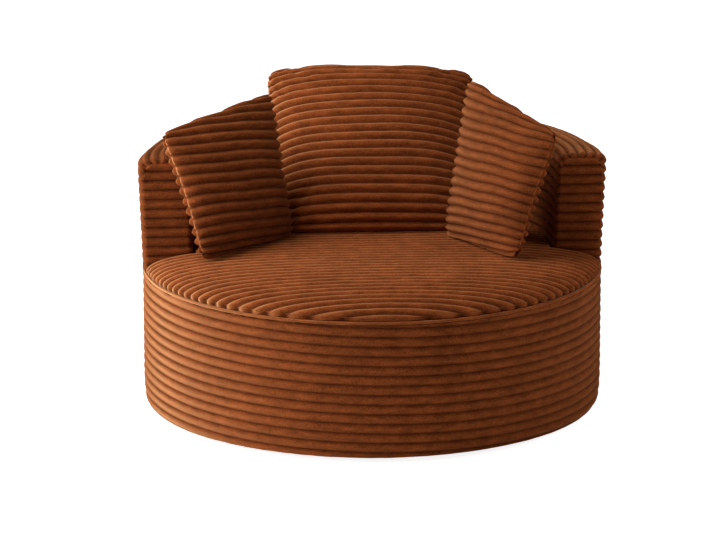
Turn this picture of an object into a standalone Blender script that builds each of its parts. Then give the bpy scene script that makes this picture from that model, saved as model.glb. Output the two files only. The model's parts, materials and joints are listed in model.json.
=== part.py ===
"""Round armchair: a ribbed drum seat on a hidden swivel, a half-round back and three loose pillows.

Metres, +Z up. The origin is the middle of the drum on the floor and the front faces -Y.
"""

import math

import bmesh
import bpy
import numpy as np
from mathutils import Euler, Matrix, Vector
from mathutils.bvhtree import BVHTree

# Driving sizes of the cover and its ribs
DRUM_DIAMETER = 1.08
HEM_HEIGHT = 0.012
HEM_TUCK = 0.005
HEM_TUCK_RIBS = 3
HEM_RETURN = 0.025
DRUM_RIBS = 14
RIB_PITCH = 0.0226
RIB_DEPTH = 0.0055
CLOTH = 0.004
PIPING_RADIUS = 0.004
PIPING_INSET = 0.002

# Driving sizes of the seat
SEAT_CROWN = 0.062
SEAT_CROWN_ROUNDNESS = 4
SEAT_CROWN_FULLNESS = 0.4
SEAT_EDGE_INSET = 0.003
SPRING_PAD = 0.002
SPRING_WIRE = 0.0036
SPRING_COUNT = 4
SPRING_SPACING = 0.14
SPRING_LOOP = 0.05
SPRING_RISE = 0.005
SPRING_BEND = 0.045
CLIP_DEPTH = 0.012
CLIP_HEIGHT = 0.014
SPRING_BEND_REACH = 0.3

# Driving sizes of the back
ARM_THICKNESS = 0.12
BACK_THICKNESS = 0.16
BACK_RISE = 0.2756
BACK_LEAN = 0.011
BACK_ROLL = 0.05
TOP_FLAT = 0.004
ARM_REACH = 0.055
ARM_CORNER = 0.018
ARM_CORNER_INSET = 0.008
BACK_RAIL = 0.025
BACK_POSTS = 4
BACK_BOLTS = 3
INNER_PADDING = 0.025
TOP_PADDING = 0.034
END_PADDING = 0.012

# Driving sizes of the frame
PLY = 0.018
BOARD = 0.003
DRUM_PADDING = 0.015
RING_WIDTH = 0.11
RING_LIFT = 0.006
SEAT_FOAM = 0.05
POST_SIZE = 0.045
POST_INSET = 0.01
POST_START = math.radians(15)
FRAME_POSTS = 6
BEAM_WIDTH = 0.07
BEAM_HEIGHT = 0.038
BEAM_END_INSET = 0.02
DUST_CLOTH = 0.001
DUST_CLOTH_CLEAR = 0.015

# Driving sizes of the swivel
GLIDE_RADIUS = 0.02
GLIDE_HEIGHT = 0.006
GLIDE_INSET = 0.03
GLIDE_COUNT = 4
BASE_RADIUS = 0.30
BASE_HEIGHT = 0.018
PLATE = 0.0024
PLATE_RADIUS = 0.15
PLATE_OPENING = 0.06
RACE_RADIUS = 0.10
RACE_LIP = 0.0016
RACE_LIP_WIDTH = 0.004
BALL_RADIUS = 0.003
BALL_COUNT = 10
CAGE_THICKNESS = 0.0012
CAGE_WIDTH = 0.013

# Driving sizes of the bolts that hold the back
BOLT_RADIUS = 0.004
BOLT_HEAD_RADIUS = 0.0075
BOLT_HEAD_HEIGHT = 0.005
NUT_HEIGHT = 0.0065

# Driving sizes of the pillows; a push is the way a pillow slides until it touches
PILLOW_EDGE_DRAW = 0.012
RIB_FADE = 3
LINING_EASE = 0.3
ZIP_OPENING = 0.004
ZIP_LENGTH_SHARE = 0.6
ZIP_DEPTH = 0.006
CENTER_PILLOW_WIDTH = 0.50
CENTER_PILLOW_HEIGHT = 0.50
CENTER_PILLOW_THICKNESS = 0.15
CENTER_PILLOW_LEAN = math.radians(51)
CENTER_PILLOW_START = (0, -0.1)
CENTER_PILLOW_PUSH = (0, 1, 0)
SIDE_PILLOW_WIDTH = 0.333
SIDE_PILLOW_THICKNESS = 0.13
SIDE_PILLOW_BACK_SHARE = 0.7
LEFT_PILLOW_INNER_HEIGHT = 0.327
LEFT_PILLOW_OUTER_HEIGHT = 0.291
LEFT_PILLOW_TURN = math.radians(42)
LEFT_PILLOW_LEAN = math.radians(26)
LEFT_PILLOW_START = (-0.226, -0.138)
LEFT_PILLOW_PUSH = (-0.55, 0.83, 0)
RIGHT_PILLOW_INNER_HEIGHT = 0.352
RIGHT_PILLOW_OUTER_HEIGHT = 0.292
RIGHT_PILLOW_TURN = math.radians(-57)
RIGHT_PILLOW_LEAN = math.radians(22)
RIGHT_PILLOW_START = (0.21, -0.146)
RIGHT_PILLOW_PUSH = (0.4, 0.92, 0)
SETTLE_LIFT = 0.004
SETTLE_STEPS = 24
SETTLE_CLOSE = 1e-5

# Clearances
FIT_GAP = 0.0003
REST_GAP = 0.0004
SOFT_GAP = 0.0008
TOPPER_GAP = 0.0035

# Facets
SEAT_COLUMNS = (-1, -0.92, -0.66, 0, 0.66, 0.92, 1)
NARROWEST_SEAT_ROW = 1 / 3
DRUM_STEPS = 32
BACK_STEPS = 12
PLATE_STEPS = 20
ROLL_STEPS = 12
LINING_STEPS = 3
SHARP_ANGLE = math.radians(50)

# Finishes: colour as a display value, roughness and metallic share
RUST = ("8B4A26", 0.9, 0.0)
RUST_ZIP = ("8B4A26", 0.5, 0.0)
PINE = ("C8A070", 0.75, 0.0)
PLYWOOD = ("BE9762", 0.7, 0.0)
HARDBOARD = ("7A5638", 0.7, 0.0)
FOAM = ("E6DFC8", 0.9, 0.0)
FIBRE = ("E9E7E0", 0.9, 0.0)
FELT = ("8C8C88", 0.9, 0.0)
BLACK_CLOTH = ("1C1C1D", 0.9, 0.0)
STEEL = ("A9ABAD", 0.35, 0.9)
ZINC = ("B9BCBE", 0.4, 0.9)
BLACK_PLASTIC = ("1A1A1B", 0.6, 0.0)

# Radii and heights that follow from the sizes above
RADIUS = DRUM_DIAMETER / 2
SEAM_Z = HEM_HEIGHT + DRUM_RIBS * RIB_PITCH
COVER_SKIN = RIB_DEPTH + CLOTH
PAD_RADIUS = RADIUS - COVER_SKIN - FIT_GAP
PAD_FLAT = PAD_RADIUS * math.cos(math.pi / DRUM_STEPS) - FIT_GAP
PANEL_RADIUS = PAD_RADIUS - DRUM_PADDING - FIT_GAP
FRAME_RADIUS = PANEL_RADIUS - BOARD - FIT_GAP
RING_INNER = FRAME_RADIUS - RING_WIDTH
RING_Z = HEM_HEIGHT + RING_LIFT
TOP_RING_TOP = SEAM_Z + PIPING_RADIUS - SEAT_FOAM - SPRING_PAD - 2 * FIT_GAP
SEAT_RADIUS = RADIUS - SEAT_EDGE_INSET
BACK_TOP = SEAM_Z + BACK_RISE
ARM_END_Y = -ARM_REACH
SEAM_CLEAR = PIPING_RADIUS + FIT_GAP

GLIDE_CIRCLE = BASE_RADIUS - GLIDE_INSET
DUST_CLOTH_OPENING = BASE_RADIUS + DUST_CLOTH_CLEAR
BASE_Z = GLIDE_HEIGHT + FIT_GAP
LOWER_PLATE_Z = BASE_Z + BASE_HEIGHT + FIT_GAP
BALL_Z = LOWER_PLATE_Z + PLATE + FIT_GAP + BALL_RADIUS
UPPER_PLATE_Z = BALL_Z + BALL_RADIUS + FIT_GAP
BEAM_Z = UPPER_PLATE_Z + PLATE + FIT_GAP

# The back's inner face is a circle that meets the arms' ends and is thicker behind
ARM_INNER_X = RADIUS - ARM_THICKNESS
INNER_BACK_Y = RADIUS - BACK_THICKNESS
INNER_CENTRE_Y = (INNER_BACK_Y**2 - ARM_INNER_X**2 - ARM_END_Y**2) / 2 / (INNER_BACK_Y - ARM_END_Y)
INNER_RADIUS = INNER_BACK_Y - INNER_CENTRE_Y
INNER_START = math.asin(-INNER_CENTRE_Y / INNER_RADIUS)
INNER_HALF_STEP = (math.pi / 2 - INNER_START) / BACK_STEPS
OUTER_HALF_STEP = math.pi / 2 / BACK_STEPS
SEAT_BACK_RADIUS = INNER_RADIUS * math.cos(INNER_HALF_STEP) - REST_GAP

# Depths from the inner and outer faces of the back to the pieces inside it
BOARD_IN = COVER_SKIN + FIT_GAP + INNER_PADDING + FIT_GAP
RAIL_IN = BOARD_IN + BOARD + FIT_GAP
BOARD_OUT = RADIUS - PANEL_RADIUS
RAIL_OUT = RADIUS - FRAME_RADIUS
RAIL_END_Y = ARM_END_Y + COVER_SKIN + END_PADDING + 2 * FIT_GAP
BACK_FRAME_Z = TOP_RING_TOP + FIT_GAP
BACK_FRAME_TOP = BACK_TOP - COVER_SKIN - FIT_GAP - TOP_PADDING - FIT_GAP


# Plain helpers
def linear(hex_colour):
    """A display colour such as 8B4A26 as linear values."""
    values = [int(hex_colour[i : i + 2], 16) / 255 for i in (0, 2, 4)]
    return [v / 12.92 if v <= 0.04045 else ((v + 0.055) / 1.055) ** 2.4 for v in values] + [1.0]


def finish(obj, look):
    """Gives an object a material of its own."""
    colour, roughness, metallic = look
    material = bpy.data.materials.new(obj.name + "_finish")
    material.use_nodes = True
    shader = material.node_tree.nodes["Principled BSDF"]
    shader.inputs["Base Color"].default_value = linear(colour)
    shader.inputs["Roughness"].default_value = roughness
    shader.inputs["Metallic"].default_value = metallic
    material.diffuse_color = linear(colour)
    obj.data.materials.append(material)
    return obj


def mesh_object(name, bm, smooth=True):
    """Closes a bmesh into an object with its faces pointing out."""
    bmesh.ops.remove_doubles(bm, verts=bm.verts, dist=1e-6)
    bmesh.ops.recalc_face_normals(bm, faces=bm.faces)
    if bm.calc_volume(signed=True) < 0:
        bmesh.ops.reverse_faces(bm, faces=bm.faces)
    mesh = bpy.data.meshes.new(name)
    bm.to_mesh(mesh)
    bm.free()
    obj = bpy.data.objects.new(name, mesh)
    bpy.context.scene.collection.objects.link(obj)
    if smooth:
        mesh.shade_smooth()
        mesh.set_sharp_from_angle(angle=SHARP_ANGLE)
    return obj


def turned(name, profile, steps=DRUM_STEPS):
    """A closed profile of (radius, height) points turned round the Z axis."""
    bm = bmesh.new()
    points = [bm.verts.new((r, 0, z)) for r, z in profile]
    edges = [bm.edges.new((points[i - 1], points[i])) for i in range(len(points))]
    bmesh.ops.spin(bm, geom=points + edges, cent=(0, 0, 0), axis=(0, 0, 1),
                   angle=2 * math.pi, steps=steps, use_merge=True)
    return mesh_object(name, bm)


def block(name, size, centre, angle=0.0):
    """A box, turned about its own vertical axis and then placed."""
    bm = bmesh.new()
    bmesh.ops.create_cube(bm, size=1, matrix=Matrix.Diagonal((*size, 1)))
    obj = mesh_object(name, bm, smooth=False)
    obj.location = centre
    obj.rotation_euler = (0, 0, angle)
    return obj


def disc(bm, radius, bottom, top, centre=(0, 0), sides=12):
    """Adds a closed cylinder to a bmesh."""
    place = Matrix.Translation((*centre, (bottom + top) / 2))
    bmesh.ops.create_cone(bm, cap_ends=True, cap_tris=False, segments=sides,
                          radius1=radius, radius2=radius, depth=top - bottom, matrix=place)


def combine(obj, other, operation="DIFFERENCE"):
    """Takes another shape out of an object, or joins it on."""
    other.hide_render = True
    other.display_type = "WIRE"
    modifier = obj.modifiers.new(other.name, "BOOLEAN")
    modifier.operation = operation
    modifier.object = other


def circle(radius, count, start=0.0):
    """Points evenly round a circle, with their angles."""
    angles = [start + 2 * math.pi * i / count for i in range(count)]
    return [(radius * math.cos(a), radius * math.sin(a), a) for a in angles]


def stitch(bm, loop_a, loop_b):
    """Joins two closed loops of unlike counts with triangles, by their share of the way round."""

    def shares(loop):
        steps = [(loop[i].co - loop[i - 1].co).length for i in range(1, len(loop))]
        steps.append((loop[0].co - loop[-1].co).length)
        total = sum(steps)
        return [sum(steps[:i]) / total for i in range(len(loop) + 1)]

    share_a, share_b = shares(loop_a), shares(loop_b)
    i, j = 0, 0
    while i < len(loop_a) or j < len(loop_b):
        a, b = loop_a[i % len(loop_a)], loop_b[j % len(loop_b)]
        if j == len(loop_b) or (i < len(loop_a) and share_a[i + 1] <= share_b[j + 1]):
            bm.faces.new((a, loop_a[(i + 1) % len(loop_a)], b))
            i += 1
        else:
            bm.faces.new((a, loop_b[(j + 1) % len(loop_b)], b))
            j += 1


def join_loops(bm, loop_a, loop_b):
    """Quads between two closed loops of the same count."""
    for i in range(len(loop_a)):
        bm.faces.new((loop_a[i - 1], loop_a[i], loop_b[i], loop_b[i - 1]))


def grid_faces(bm, rows):
    """Quads between neighbouring rows of vertices."""
    for lower, upper in zip(rows, rows[1:]):
        for k in range(len(lower) - 1):
            bm.faces.new((lower[k], lower[k + 1], upper[k + 1], upper[k]))


def panel_faces(bm, rows):
    """Quads between rows of vertices; a corner one is two triangles that meet along its diagonal."""
    last_row, last_column = len(rows) - 2, len(rows[0]) - 2
    corners = {(0, 0): 0, (0, last_column): 1, (last_row, last_column): 2, (last_row, 0): 3}
    for i, (lower, upper) in enumerate(zip(rows, rows[1:])):
        for k in range(len(lower) - 1):
            quad = [lower[k], lower[k + 1], upper[k + 1], upper[k]]
            if (i, k) in corners:
                first = corners[i, k]
                a, b, c, d = quad[first:] + quad[:first]
                bm.faces.new((a, b, c))
                bm.faces.new((a, c, d))
            else:
                bm.faces.new(quad)


# The swivel base
def base_glides():
    for number, (x, y, _) in enumerate(circle(GLIDE_CIRCLE, GLIDE_COUNT)):
        bm = bmesh.new()
        disc(bm, GLIDE_RADIUS, 0, GLIDE_HEIGHT, (x, y), sides=12)
        finish(mesh_object(f"base_glide_{number + 1}", bm), BLACK_PLASTIC)


def base_plate():
    bm = bmesh.new()
    disc(bm, BASE_RADIUS, BASE_Z, BASE_Z + BASE_HEIGHT, sides=DRUM_STEPS)
    return finish(mesh_object("base_plate", bm), PLYWOOD)


def race_plate(name, face_z, side):
    """A round pressed plate whose two lips, on the given side, hold the balls in their race."""
    lip = BALL_RADIUS + FIT_GAP + RACE_LIP_WIDTH
    inner, outer = RACE_RADIUS - lip, RACE_RADIUS + lip
    run = BALL_RADIUS + FIT_GAP
    back, raised = face_z - side * PLATE, face_z + side * RACE_LIP
    profile = [
        (PLATE_OPENING, back), (PLATE_RADIUS, back), (PLATE_RADIUS, face_z),
        (outer, face_z), (outer, raised), (RACE_RADIUS + run, raised),
        (RACE_RADIUS + run, face_z), (RACE_RADIUS - run, face_z),
        (RACE_RADIUS - run, raised), (inner, raised), (inner, face_z),
        (PLATE_OPENING, face_z),
    ]
    return finish(turned(name, profile, PLATE_STEPS), ZINC)


def swivel_ball_ring():
    """The cage ring with its balls, which run between the lips of the two plates."""
    bottom, top = BALL_Z - CAGE_THICKNESS / 2, BALL_Z + CAGE_THICKNESS / 2
    inner, outer = RACE_RADIUS - CAGE_WIDTH / 2, RACE_RADIUS + CAGE_WIDTH / 2
    profile = [(inner, bottom), (outer, bottom), (outer, top), (inner, top)]
    ring = turned("swivel_ball_ring", profile, PLATE_STEPS)
    bm = bmesh.new()
    for x, y, _ in circle(RACE_RADIUS, BALL_COUNT):
        bmesh.ops.create_uvsphere(bm, u_segments=6, v_segments=4, radius=BALL_RADIUS,
                                  matrix=Matrix.Translation((x, y, BALL_Z)))
    combine(ring, mesh_object("swivel_balls_inset", bm), "UNION")
    return finish(ring, STEEL)


# The seat frame
def frame_ring(name, bottom):
    profile = [(RING_INNER, bottom), (FRAME_RADIUS, bottom),
               (FRAME_RADIUS, bottom + PLY), (RING_INNER, bottom + PLY)]
    return finish(turned(name, profile), PLYWOOD)


def bolt_places():
    """Where the bolts of the back stand from above, each in a bay between two posts."""
    bays = [i * BACK_POSTS // (BACK_BOLTS - 1) for i in range(BACK_BOLTS)]
    places = []
    for bay in bays:
        inner, outer = across_back((bay + 0.5) / (BACK_POSTS + 1))
        middle = (inner + outer) / 2
        places.append((middle.x, middle.y))
    return places


def frame_posts():
    bottom, top = RING_Z + PLY + FIT_GAP, TOP_RING_TOP - PLY - FIT_GAP
    middle = RING_INNER + POST_INSET + POST_SIZE / 2
    places = circle(middle, FRAME_POSTS, POST_START)
    posts = []
    for i, (x, y, angle) in enumerate(places):
        size = (POST_SIZE, POST_SIZE, top - bottom)
        post = block(f"frame_post_{i + 1}", size, (x, y, (bottom + top) / 2), angle)
        posts.append(finish(post, PINE))
    return posts


def frame_beams():
    """Two beams across the bottom ring, halved into each other over the swivel."""
    ring_top = RING_Z + PLY + FIT_GAP
    bottom = max(BEAM_Z, ring_top)
    length = 2 * (FRAME_RADIUS - BEAM_END_INSET)
    middle = bottom + BEAM_HEIGHT / 2
    reach = BEAM_WIDTH + 2 * FIT_GAP
    along_x = block("frame_beam_x", (length, BEAM_WIDTH, BEAM_HEIGHT), (0, 0, middle))
    along_y = block("frame_beam_y", (BEAM_WIDTH, length, BEAM_HEIGHT), (0, 0, middle))
    offset = BEAM_HEIGHT / 2 - FIT_GAP / 2
    notch_x = block("beam_x_cutter", (reach, 2 * BEAM_WIDTH, BEAM_HEIGHT), (0, 0, middle + offset))
    notch_y = block("beam_y_cutter", (2 * BEAM_WIDTH, reach, BEAM_HEIGHT), (0, 0, middle - offset))
    combine(along_x, notch_x)
    combine(along_y, notch_y)
    return finish(along_x, PINE), finish(along_y, PINE)


def spring_places():
    """Each spring's distance from the middle line, and its half length inside the clips."""
    offsets = [SPRING_SPACING * (i - (SPRING_COUNT - 1) / 2) for i in range(SPRING_COUNT)]
    reach = RING_INNER * math.cos(math.pi / DRUM_STEPS) - FIT_GAP
    clip = CLIP_HEIGHT / 2
    return [(x, math.sqrt(reach**2 - (abs(x) + clip) ** 2)) for x in offsets]


def seat_springs():
    """Zigzag wires crowned towards the seat, each with a square clip at its two ends."""
    level = TOP_RING_TOP - CLIP_HEIGHT / 2
    for number, (x, reach) in enumerate(spring_places()):
        half = reach - CLIP_DEPTH
        bends = 2 * round(half / SPRING_BEND)
        curve = bpy.data.curves.new(f"seat_spring_{number + 1}", "CURVE")
        curve.dimensions = "3D"
        curve.bevel_depth = SPRING_WIRE / 2
        curve.bevel_resolution = 0
        curve.use_fill_caps = True
        points = []
        for i in range(bends):
            side = SPRING_LOOP / 2 * (1 if i % 2 else -1)
            for along in (0.5 - SPRING_BEND_REACH, 0.5 + SPRING_BEND_REACH):
                y = -half + 2 * half * (i + along) / bends
                points.append((x + side, y, level + SPRING_RISE * (1 - (y / half) ** 2), 1))
        clip = CLIP_HEIGHT / SPRING_WIRE
        step = SPRING_WIRE / 2
        front = [(x, -reach, level, clip), (x, -half, level, clip), (x, step - half, level, 1)]
        back = [(x, -y, z, share) for x, y, z, share in reversed(front)]
        points = front + points + back
        spline = curve.splines.new("POLY")
        spline.points.add(len(points) - 1)
        for point, (px, py, pz, share) in zip(spline.points, points):
            point.co = (px, py, pz, 1)
            point.radius = share
        spring = bpy.data.objects.new(curve.name, curve)
        bpy.context.scene.collection.objects.link(spring)
        finish(spring, STEEL)


# The seat cushion
def seat_outline(inset, front=SEAT_RADIUS, steps=DRUM_STEPS):
    """The seat from above, from the left arm round the front and back behind: (x, y) points."""
    front_radius, back_radius = front - inset, SEAT_BACK_RADIUS - inset
    arm_y = ARM_END_Y - REST_GAP - inset
    start = math.pi - math.asin(arm_y / front_radius)
    sweep = 2 * math.pi - 2 * (start - math.pi) - math.pi
    count = round(steps * sweep / (2 * math.pi))
    angles = [start + sweep * i / count for i in range(count + 1)]
    points = [(front_radius * math.cos(a), front_radius * math.sin(a)) for a in angles]
    start = math.asin((arm_y - INNER_CENTRE_Y) / back_radius)
    sweep = math.pi - 2 * start
    angles = [start + sweep * i / BACK_STEPS for i in range(BACK_STEPS + 1)]
    points += [(back_radius * math.cos(a), INNER_CENTRE_Y + back_radius * math.sin(a)) for a in angles]
    return points


def seat_slab(name, inset, bottom, top, front=SEAT_RADIUS):
    """A flat layer of the seat: its outline drawn up."""
    bm = bmesh.new()
    corners = [bm.verts.new((x, y, bottom)) for x, y in seat_outline(inset, front)]
    face = bm.faces.new(corners)
    grown = bmesh.ops.extrude_face_region(bm, geom=[face])
    lifted = [v for v in grown["geom"] if isinstance(v, bmesh.types.BMVert)]
    bmesh.ops.translate(bm, verts=lifted, vec=(0, 0, top - bottom))
    return mesh_object(name, bm)


def crown(x, y):
    """The height of the seat's crest surface over the seam, at a point."""
    share = min(math.hypot(x, y) / RADIUS, 1)
    return SEAT_CROWN * (1 - share**SEAT_CROWN_ROUNDNESS) ** SEAT_CROWN_FULLNESS


def seat_rows(spacing, inset, drops):
    """Rows of points across the seat from front to back, lowered in turn by the drops, and two tips."""
    arm_y = ARM_END_Y - REST_GAP
    back_y = INNER_CENTRE_Y + SEAT_BACK_RADIUS
    front, back = arm_y + SEAT_RADIUS, back_y - arm_y
    squeeze = (front - 2 * inset) / front
    margin = spacing * NARROWEST_SEAT_ROW
    before = [k for k in range(1, round(front / spacing)) if k * spacing < front - margin]
    after = [k for k in range(1, round(back / spacing)) if k * spacing < back - margin]

    def row(k, radius, centre_y):
        y = arm_y - inset + k * spacing * (squeeze if k < 0 else 1)
        half = math.sqrt((radius - inset) ** 2 - (y - centre_y) ** 2)
        places = [(half * f, y) for f in SEAT_COLUMNS]
        return [(px, py, SEAM_Z + crown(px, py) - drops[k % len(drops)]) for px, py in places]

    rows = [row(-k, SEAT_RADIUS, 0) for k in reversed([0] + before)]
    rows += [row(k, SEAT_BACK_RADIUS, INNER_CENTRE_Y) for k in [0] + after]
    tips = [(0, y, SEAM_Z + crown(0, y) - drops[0]) for y in (inset - SEAT_RADIUS, back_y - inset)]
    return rows, tips


def crown_surface(bm, spacing, inset, drops):
    """Adds the domed top of the seat and returns its edge as a loop of vertices."""
    places, tips = seat_rows(spacing, inset, drops)
    rows = [[bm.verts.new(p) for p in row] for row in places]
    grid_faces(bm, rows)
    front, back = [bm.verts.new(tip) for tip in tips]
    for k in range(len(SEAT_COLUMNS) - 1):
        bm.faces.new((rows[0][k + 1], rows[0][k], front))
        bm.faces.new((rows[-1][k], rows[-1][k + 1], back))
    return [front] + [row[-1] for row in rows] + [back] + [row[0] for row in reversed(rows)]


def lowered(bm, loop, height):
    """A copy of a loop at one height, walled to it."""
    copies = [bm.verts.new((v.co.x, v.co.y, height)) for v in loop]
    for i in range(len(loop)):
        bm.faces.new((loop[i - 1], loop[i], copies[i], copies[i - 1]))
    return copies


def seat_cover():
    """The ribbed top of the seat: an open-bottomed shell whose ribs run across the chair."""
    bm = bmesh.new()
    rim = SEAM_Z + SEAM_CLEAR
    outer = lowered(bm, crown_surface(bm, RIB_PITCH / 2, 0, (0, RIB_DEPTH)), rim)
    inner = lowered(bm, crown_surface(bm, 2 * RIB_PITCH, CLOTH, (COVER_SKIN,)), rim)
    stitch(bm, outer, inner)
    return finish(mesh_object("seat_cover", bm), RUST)


def seat_topper():
    """The domed wadding under the seat cover."""
    bm = bmesh.new()
    edge = crown_surface(bm, 2 * RIB_PITCH, CLOTH + SOFT_GAP, (COVER_SKIN + TOPPER_GAP,))
    bottom = lowered(bm, edge, SEAM_Z + SEAM_CLEAR)
    bm.faces.new(bottom)
    return finish(mesh_object("seat_topper", bm), FIBRE)


def seat_layers():
    """The felt over the springs and the foam block on it."""
    felt_z = TOP_RING_TOP + FIT_GAP
    foam_z = felt_z + SPRING_PAD + FIT_GAP
    inset = FIT_GAP
    felt = seat_slab("spring_pad", inset, felt_z, felt_z + SPRING_PAD, FRAME_RADIUS)
    foam = seat_slab("seat_foam_core", inset, foam_z, foam_z + SEAT_FOAM, PAD_FLAT)
    return finish(felt, FELT), finish(foam, FOAM)


# The drum
def drum_side_cover():
    """The ribbed side of the drum, with its hem turned under."""
    top = SEAM_Z - SEAM_CLEAR
    outer = []
    for k in range(2 * DRUM_RIBS + 1):
        z = min(HEM_HEIGHT + k * RIB_PITCH / 2, top)
        tuck = HEM_TUCK * max(0, 1 - (z - HEM_HEIGHT) / (HEM_TUCK_RIBS * RIB_PITCH)) ** 2
        outer.append((RADIUS - tuck - (0 if k % 2 else RIB_DEPTH), z))
    inner = RADIUS - COVER_SKIN
    hem_in = inner - HEM_RETURN
    profile = outer + [(inner, top), (inner, HEM_HEIGHT + CLOTH),
                       (hem_in, HEM_HEIGHT + CLOTH), (hem_in, HEM_HEIGHT)]
    return finish(turned("drum_side_cover", profile), RUST)


def drum_layers():
    """The bent board round the frame and the padding over it."""
    bottom, top = HEM_HEIGHT + CLOTH + FIT_GAP, TOP_RING_TOP
    pad_in = PAD_RADIUS - DRUM_PADDING
    padding = [(pad_in, bottom), (PAD_RADIUS, bottom), (PAD_RADIUS, top), (pad_in, top)]
    board_in = PANEL_RADIUS - BOARD
    board = [(board_in, RING_Z), (PANEL_RADIUS, RING_Z), (PANEL_RADIUS, top), (board_in, top)]
    return (finish(turned("drum_padding", padding), FOAM),
            finish(turned("drum_board", board), HARDBOARD))


def seam_piping():
    """The welt sewn into the seam between the drum and the seat."""
    centre = RADIUS - PIPING_INSET
    profile = [(centre + PIPING_RADIUS * math.cos(a), SEAM_Z + PIPING_RADIUS * math.sin(a))
               for a in [math.pi / 3 * k for k in range(6)]]
    return finish(turned("seam_piping", profile), RUST)


def dust_cover():
    """The cloth that closes the underside round the swivel."""
    top = RING_Z - FIT_GAP
    edge = RADIUS - COVER_SKIN - HEM_RETURN - FIT_GAP
    profile = [(DUST_CLOTH_OPENING, top - DUST_CLOTH), (edge, top - DUST_CLOTH),
               (edge, top), (DUST_CLOTH_OPENING, top)]
    return finish(turned("dust_cover", profile), BLACK_CLOTH)


# The back
def station(angle):
    """The inner and the outer point of the back at an angle of 0 to pi round it."""
    turn = INNER_START + (math.pi - 2 * INNER_START) * angle / math.pi
    inner = Vector((INNER_RADIUS * math.cos(turn), INNER_CENTRE_Y + INNER_RADIUS * math.sin(turn)))
    return inner, Vector((RADIUS * math.cos(angle), RADIUS * math.sin(angle)))


def level_station(side, y):
    """The inner and the outer point of an arm at one distance from the middle line."""
    inner = math.sqrt(INNER_RADIUS**2 - (y - INNER_CENTRE_Y) ** 2)
    outer = math.sqrt(RADIUS**2 - y**2)
    return Vector((side * inner, y)), Vector((side * outer, y))


def back_stations(end_y):
    """Stations along the back, from the right arm's end to the left arm's."""
    middle = end_y + ARM_CORNER
    stations = [level_station(1, end_y), level_station(1, middle)]
    stations += [station(math.pi * i / BACK_STEPS) for i in range(BACK_STEPS + 1)]
    return stations + [level_station(-1, middle), level_station(-1, end_y)]


def across_back(share):
    """The inner and outer edges of the rails at a share of the way round the back."""
    inner, outer = station(math.pi * share)
    across = (outer - inner).normalized()
    return inner + across * RAIL_IN, outer - across * RAIL_OUT


def swept_back(bm, section, end_y, corner=0.0, channel=0.0):
    """Sweeps a section along the back: points of (inner or outer face, depth from it, height, rib).

    A corner squeezes the section at its two ends, and is their rounding. There the ribs of the
    section lie flat, and every other point sinks by the depth of a channel in the end's face.
    """
    rows = []
    rim = SEAM_Z + SEAM_CLEAR
    top = max(z for _, _, z, _ in section)
    stations = back_stations(end_y)
    for number, (inner, outer) in enumerate(stations):
        across = (outer - inner).normalized()
        is_end = number in (0, len(stations) - 1)
        draw = corner if is_end else 0
        row = []
        for face, depth, z, rib in section:
            start, way = (inner, across) if face == "inner" else (outer, -across)
            if is_end:
                depth, z = depth - rib[0], z - rib[1]
            place = start + way * (depth + draw * (1 - 2 * depth / ARM_THICKNESS))
            if is_end and any(rib):
                place.y += channel
            lowered_z = z - draw * max(z - rim, 0) / (top - rim)
            row.append(bm.verts.new((place.x, place.y, lowered_z)))
        rows.append(row)
    return rows


def closed_band(name, inner, outer, bottom, top, end_y):
    """A curved board, rail or pad of rectangular section along the back."""
    bm = bmesh.new()
    corners = ((inner, bottom), (outer, bottom), (outer, top), (inner, top))
    rows = swept_back(bm, [(*side, z, FLAT) for side, z in corners], end_y)
    for row in rows:
        row.append(row[0])
    grid_faces(bm, rows)
    for row in (rows[0], rows[-1]):
        bm.faces.new(row[:-1])
    return mesh_object(name, bm)


# A point of a section that is on no rib
FLAT = (0, 0)


def lean_out(z):
    """How far the back leans outwards at a height."""
    return BACK_LEAN * max(z - SEAM_Z, 0) / BACK_RISE


def back_half(face, inset, corner_steps):
    """Half of the back's section, from its foot up one face to the middle of its top."""
    roll = BACK_ROLL - inset / 2
    shoulder = BACK_TOP - inset - roll
    side = 1 if face == "inner" else -1
    points = [(face, inset, BACK_FRAME_Z, FLAT), (face, inset, SEAM_Z, FLAT)]
    for k in range(corner_steps + 1):
        a = math.pi / 2 * k / corner_steps
        z = shoulder + roll * math.sin(a)
        points.append((face, inset + roll * (1 - math.cos(a)) + side * lean_out(z), z, FLAT))
    return points


def back_outline(inset, corner_steps):
    """The section of the back, up its inner side, over the roll and down its outer side."""
    outer = back_half("outer", inset, corner_steps)[::-1]
    return back_half("inner", inset, corner_steps) + outer


def ribbed_half(face, foot):
    """Half of the cover's section, with a crest and a valley for each rib above its foot."""
    outline = [(depth, z) for _, depth, z, _ in back_half(face, 0, ROLL_STEPS)[1:]]
    side = 1 if face == "inner" else -1
    middle = ARM_THICKNESS / 2 + side * BACK_LEAN - TOP_FLAT / 2
    outline = np.array(outline + [(middle, BACK_TOP)])
    lengths = np.concatenate([[0], np.cumsum(np.linalg.norm(np.diff(outline, axis=0), axis=1))])
    ribs = int((lengths[-1] - (foot - SEAM_Z)) / RIB_PITCH)
    start = lengths[-1] - ribs * RIB_PITCH
    points = []
    for k in range(2 * ribs + 1):
        s = start + k * RIB_PITCH / 2
        here, ahead, behind = [np.array([np.interp(t, lengths, outline[:, i]) for i in range(2)])
                               for t in (s, s + RIB_DEPTH / 2, s - RIB_DEPTH / 2)]
        along = (ahead - behind) / np.linalg.norm(ahead - behind)
        depth = 0 if k % 2 else RIB_DEPTH
        rib = (along[1] * depth, -along[0] * depth)
        points.append((face, here[0] + rib[0], here[1] + rib[1], rib))
    return points


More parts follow.
